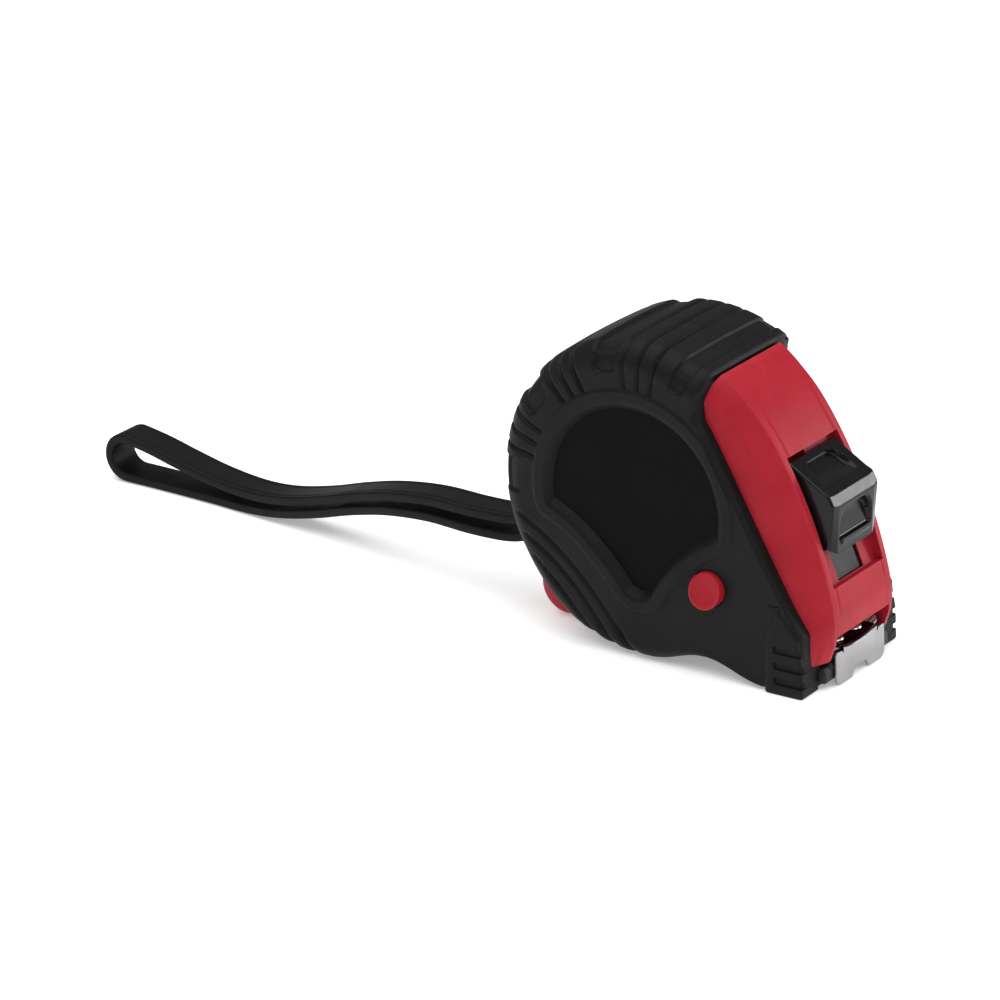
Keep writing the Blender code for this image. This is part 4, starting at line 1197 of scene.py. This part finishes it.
def hookOutline(top):
    # Front plate as (y, z): cupped crest, ears, rounded lower corners and a notch in the middle
    half, low, tab, bend = hook["half"], hook["foot"], hook["tab"], hook["corner"]
    crest = [(-y, top - 0.55 + cupRise(y)) for y in acrossLine(tab, 24)]
    ear = top - 0.15
    right = [(-tab, ear - 0.5), (-tab - 0.35, ear - 0.7), (-tab - 0.5, ear - 0.1)]
    right += cornerArc(-half + 0.6, ear - 0.5, 0.6, 100, 180, 5)
    right += cornerArc(-half + bend, low + bend, bend, 180, 262)
    right += [(-3.6, low), (-3.1, low + 0.2), (-2.7, low + 0.8), (-2.4, low + 1.3)]
    right += cornerArc(-1.4, low + 0.9, 1.0, 155, 90, 4)
    left = [(-y, z) for y, z in reversed(right)]
    return crest + right + [(0.0, low + 1.9)] + left


def makeTab(top):
    # Plate over the blade's end, bent down into the front plate
    outer, thick, front = hook["bend"], hook["thickness"], hookFront - 0.02
    start, root = front - outer, nose - tuck
    profile = [((u, 0.0), (0.0, 1.0)) for u in (root - 6.2, root - 6.0, root - 4.0, root - 2.0, start)]
    for k in range(1, 9):
        a = pi / 2 * k / 8
        profile.append(((start + outer * sin(a), -outer * (1 - cos(a))), (sin(a), cos(a))))
    profile.append(((front, -outer - 0.5), (1.0, 0.0)))
    rings = []
    for (u, drop), (outX, outZ) in profile:
        ys = acrossLine(hook["tab"] - 0.5 * float(smooth(root - 5.0, root - 6.2, u)))
        ring = [(axisX + u, y, top + drop + cupRise(y)) for y in ys]
        ring += [(axisX + u - outX * thick, y, top + drop - outZ * thick + cupRise(y)) for y in reversed(ys)]
        rings.append(ring)
    return stackPiece("hookTab", rings, 50.0)


rivets = {
    "apart": 6.8,
    "behind": 3.2,           # back from the mouth
    "shank": 1.1,
    "head": 2.05,
    "rise": 0.75,
}


def makeRivets(finish, top):
    head = top + cupRise(5.4) - 0.25
    under = bladeLevel - hook["drop"]
    shank, wide = rivets["shank"], rivets["head"]
    brim = head + 0.12
    profile = [(1.7, under - 0.6), (1.7, under - 0.25), (shank, under - 0.2), (shank, head),
               (wide - 0.1, head), (wide, brim)]
    profile += [(wide * cos(radians(a)), brim + rivets["rise"] * sin(radians(a))) for a in (20, 40, 60, 78)]
    place = nose - tuck - rivets["behind"]
    for name, side in (("right", -1), ("left", 1)):
        middle = (place, side * rivets["apart"] / 2)
        rings = [[(axisX + u, y, z) for u, y in circle(middle, r, 40)] for r, z in profile]
        rivet = stackPiece(f"hookRivet_{name}", rings)
        finishPiece(rivet, "blade", finish, f"hook_rivet_{name}")


def makeHook(steel, tabPaintedDarkReflection, chrome):
    thick = hook["thickness"]
    top = bladeLevel + hook["tabRise"] - hook["drop"] + thick
    plate = frontPrism("endHook", hookOutline(top), hookFront - thick, hookFront)
    softenEdges(plate, hook["edge"])
    sheet = makeTab(top)
    finishPiece(plate, "hook", steel, "end_hook")
    # The tab's chrome is painted dark, a painted reflection of the dark mouth
    finishPiece(sheet, "hook", tabPaintedDarkReflection, "end_hook")
    makeRivets(chrome, top)
    print("hook made")


# Side button, rear trigger, labels

def makeButton(finish):
    # A turned cap with a flange behind the wall; its face leans with the side
    inner = caseHalf - 2.6
    bend, radius = button["edgeRound"], button["radius"]
    flange = [(radius + 1.2, inner - 0.8), (radius + 1.2, inner), (radius, inner)]
    rings = [sideRing(circle(button["place"], r, 64), -y) for r, y in flange]
    shells = [(radius, -bend), (radius - 0.06, -0.5 * bend), (radius - 0.2, -0.15 * bend),
              (radius - bend, 0.0), (radius - 0.75, 0.02), (radius - 0.9, -0.06), (1.6, -0.1), (0.4, -0.1)]
    middle = button["place"][1]
    for r, fall in shells:
        face = button["face"] + fall
        rings.append([(axisX + u, button["lean"] * (z - middle) / radius - face, z)
                      for u, z in circle(button["place"], r, 64)])
    piece = stackPiece("sideButton", rings, 45.0)
    finishPiece(piece, "button", finish, "side_button")


def makeTrigger(finish):
    # Round nub outside, a neck through the wall and a shoe that rides on the wound blade
    half, radius, bend = trigger["half"], trigger["radius"], trigger["edgeRound"]
    edge = []
    for k in range(7):
        a = pi / 2 * k / 6
        edge.append((radius - bend + bend * sin(a), half - bend + bend * cos(a)))
    core = radius - bend - 2.0
    profile = [(core, -half)] + [(r, -y) for r, y in edge] + edge[::-1] + [(core, half)]
    nub = turnedPiece("brakeTrigger", trigger["place"], profile, 64)
    low = coilRadius + 1.6
    neck = [polar(low, 223), polar(bodyRadius, 223), polar(bodyRadius, 233), polar(low, 233)]
    shoe = arc(coilRadius + 3.4, 221, 246, 16) + arc(coilRadius + 1.0, 246, 221, 16)
    pivot = trigger["pivot"]
    carve(nub, prismPiece("triggerNeck", neck, -6.8, 6.8), prismPiece("triggerShoe", shoe, -7.0, 7.0),
          prismPiece("triggerEye", circle(pivot, 1.9, 32), -6.7, 6.7), joinThem=True)
    carve(nub, prismPiece("pinCut", circle(pivot, trigger["pinHole"], 24), -10, 10))
    shadeBy(nub.data, 35)
    finishPiece(nub, "brake", finish, "bottom_brake")
    print("button and trigger made")


def makeLabels(finish):
    inner, outer = caseHalf + 0.3, caseHalf + label["face"]
    rounds = ((0.3, inner), (-0.12, outer - 0.4), (-0.12, outer), (1.5, outer), (6.0, outer - 0.05))
    for name, side, node in (("labelRight", -1, "label_right"), ("labelLeft", 1, "label_left")):
        piece = stackPiece(name, [sideRing(labelOutline(inset), side * y) for inset, y in rounds])
        if side > 0:
            carve(piece, clipHole("labelClipCut"))
            piece.data.set_sharp_from_angle(angle=radians(40))
        finishPiece(piece, "case", finish, node)
    print("labels made")


# Belt clip and screws

clip = {
    "pad": caseHalf + 1.6,   # middle of the sheet where the screw holds it
    "out": grip["half"] + 2.2,
    "half": 7.0,
    "thickness": 0.8,
    "corner": (2.8, 3.6),
}
clipKnots = (
    (clip["pad"], 16.0), (clip["pad"], 12.0), (clip["pad"], 5.6), (clip["pad"] + 0.6, 4.0),
    (clip["out"] - 0.6, 0.6), (clip["out"], -1.4), (clip["out"], -9.0), (clip["out"], -16.0),
    (clip["out"] - 0.9, -19.0), (clip["out"] - 0.4, -21.5),
)


def stripOutline(points, thickness):
    left, right = [], []
    for k, (p, q) in enumerate(points):
        before, after = points[max(k - 1, 0)], points[min(k + 1, len(points) - 1)]
        along = Vector((after[0] - before[0], after[1] - before[1])).normalized()
        left.append((p - along.y * thickness / 2, q + along.x * thickness / 2))
        right.append((p + along.y * thickness / 2, q - along.x * thickness / 2))
    return left + right[::-1]


def makeClip(finish):
    half, thickness = clip["half"], clip["thickness"]
    line = [(p[0], p[1]) for p in smoothLine([(y, axisZ + z, 0.0) for y, z in clipKnots], 5)]
    rings = []
    for u in (-half, 0.15 - half, 0.5 - half, half - 0.5, half - 0.15, half):
        thin = thickness - 0.5 * max(0.0, (abs(u) - (half - 0.5)) / 0.5)
        rings.append([(axisX + u, y, z) for y, z in stripOutline(line, thin)])
    piece = stackPiece("beltClip", rings)
    wide, tall = clip["corner"]
    corners = []
    for side in (-1, 1):
        for low, up in ((axisZ - 22.5, 1), (axisZ + 17, -1)):
            outline = [(side * 7.2, low), (side * (half - wide), low), (side * 7.2, low + up * tall)]
            corners.append(prismPiece(f"clipCorner{side}{up}", outline, 14, 22))
    carve(piece, *corners, clipHole("clipHole"))
    piece.data.set_sharp_from_angle(angle=radians(40))
    finishPiece(piece, "case", finish, "belt_clip")
    makeScrews(finish)
    print("clip and screws made")


def makeScrews(finish):
    seat = clip["pad"] + 0.7
    dome = [(1.4, caseHalf - 1.9), (1.4, seat), (2.8, seat), (2.85, seat + 0.15)]
    dome += [(2.85 * cos(radians(a)), seat + 0.15 + 1.0 * sin(radians(a))) for a in (18, 36, 52, 66, 78)]
    screwPiece("clipScrew", screws["clipPlace"], dome, 2.6, finish, "clip_screw")
    seat = caseHalf - 1.4
    head = [(1.1, -10.0), (1.1, seat), (2.05, seat), (2.1, seat + 0.1), (2.1, caseHalf - 0.35),
            (1.95, caseHalf - 0.1), (1.6, caseHalf)]
    for k, place in enumerate(screws["places"]):
        screwPiece(f"caseScrew{k + 1}", place, head, 1.9, finish, f"case_screw_{k + 1}")


def screwPiece(name, place, profile, reach, finish, node):
    # A screw along Y with a cross recess in its head
    piece = turnedPiece(name, place, profile, 40)
    face = profile[-1][1]
    u, z = place
    long, short = reach * 0.62, 0.34
    bars = []
    for k, (a, b) in enumerate(((long, short), (short, long))):
        outline = [(u - a, z - b), (u + a, z - b), (u + a, z + b), (u - a, z + b)]
        bars.append(prismPiece(f"{name}Bar{k}", outline, face - 0.9, face + 1.0))
    carve(piece, *bars)
    shadeBy(piece.data, 35)
    finishPiece(piece, "case", finish, node)


# Guide under the blade

guide = {
    "front": nose - 1.8,
    "back": nose - 13.2,
    "half": 11.7,
    "floor": 1.4,
    "bedHalf": 9.6,
    "bedBack": nose - 8.7,
    "bedTop": mouthTop - 5.9,
    "edge": 0.25,
}


def makeGuide(finish):
    tip, back, floor, half = guide["front"], guide["back"], guide["floor"], guide["half"]
    outline = [(back, floor), (tip - 0.5, floor), (tip, floor + 0.5), (tip, 4.0), (tip - 0.6, 4.8),
               (back, 4.8)]
    piece = prismPiece("bladeGuide", outline, -half, half)
    top, root = guide["bedTop"], guide["bedBack"]
    bed = [(root, 3.0), (tip, 3.0), (tip, top - 0.4), (tip - 0.5, top), (root, top)]
    carve(piece, prismPiece("guideBed", bed, -guide["bedHalf"], guide["bedHalf"]), joinThem=True)
    softenEdges(piece, guide["edge"])
    finishPiece(piece, "case", finish, "blade_guide")
    print("guide made")


# Carried-over pieces of the frame and their finishes

carriedFinishes = {
    "spring_drum": "greyPlastic",
    "drum_cover": "greyPlastic",
    "power_spring": "springSteel",
    "centre_post": "zincSteel",
    "blade_coil": "whiteBlade",
    "brake_pin": "zincSteel",
    "brake_spring": "springSteel",
    "strap_lug": "strapRubber",
    "strap_pin": "zincSteel",
}


def dressCarried(finishes):
    for node, finish in carriedFinishes.items():
        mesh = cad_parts[node].data
        mesh.materials.clear()
        mesh.materials.append(finishes[finish])
    print("carried pieces dressed")


# Floor and light

studio = {
    "floorHalf": 9.0,
    "floorShade": 0.96,
    "floorGlow": 0.3,
    "worldStrength": 0.27,
}

# Place, aim, width and height, power
lights = {
    "topLight": ((0.1, -0.25, 1.5), (0.1, -0.25, 0.0), (2.6, 2.3), 39.0),
    "frontLight": ((0.75, -0.05, 0.55), (0.02, 0.0, 0.03), (0.3, 0.3), 0.8),
    "backLight": ((0.6, 0.68, 0.2), (0.04, 0.0, 0.03), (0.25, 0.3), 3.0),
    "sideLight": ((-0.45, -0.7, 0.5), (-0.02, 0.0, 0.03), (0.4, 0.3), 0.5),
}


def areaLight(name, place, aim, size, power):
    data = bpy.data.lights.new(name, 'AREA')
    data.energy = power
    data.shape = 'RECTANGLE'
    data.size = size[0]
    data.size_y = size[1]
    lamp = bpy.data.objects.new(name, data)
    lamp.location = place
    lamp.rotation_euler = (Vector(aim) - Vector(place)).to_track_quat('-Z', 'Y').to_euler()
    bpy.context.scene.collection.objects.link(lamp)


def makeStudio():
    mesh = bpy.data.meshes.new("floor")
    size = studio["floorHalf"]
    mesh.from_pydata([(-size, -size, 0), (size, -size, 0), (size, size, 0), (-size, size, 0)], [],
                     [(0, 1, 2, 3)])
    floor = bpy.data.objects.new("floor", mesh)
    bpy.context.scene.collection.objects.link(floor)
    made, shader = nodeTools("paleFloor")[:2]
    shade = studio["floorShade"]
    shader.inputs["Base Color"].default_value = (shade, shade, shade, 1.0)
    shader.inputs["Roughness"].default_value = 0.9
    shader.inputs["Specular IOR Level"].default_value = 0.1
    shader.inputs["Emission Color"].default_value = (1.0, 1.0, 1.0, 1.0)
    shader.inputs["Emission Strength"].default_value = studio["floorGlow"]
    mesh.materials.append(made)
    world = bpy.data.worlds.new("studio")
    world.use_nodes = True
    sky = world.node_tree.nodes["Background"]
    sky.inputs["Color"].default_value = (1.0, 1.0, 1.0, 1.0)
    sky.inputs["Strength"].default_value = studio["worldStrength"]
    bpy.context.scene.world = world
    for name, values in lights.items():
        areaLight(name, *values)
    bpy.context.scene.view_settings.view_transform = 'Standard'
    print("studio made")


def main():
    makeCamera()
    finishes = makeFinishes()
    makeStrap(finishes["strapRubber"])
    makeCase(finishes["redPlastic"])
    makeGrip(finishes["blackRubber"])
    makeLock(finishes["glossBlack"])
    makeTongue(finishes["blackPlastic"])
    makeBlade(finishes["whiteBlade"])
    makeHook(finishes["hookSteel"], finishes["chromePaintedDarkReflection"], finishes["chromeSteel"])
    makeButton(finishes["redPlastic"])
    makeTrigger(finishes["redTrigger"])
    makeLabels(finishes["labelBlack"])
    makeClip(finishes["zincSteel"])
    makeGuide(finishes["blackPlastic"])
    dressCarried(finishes)
    makeStudio()


main()
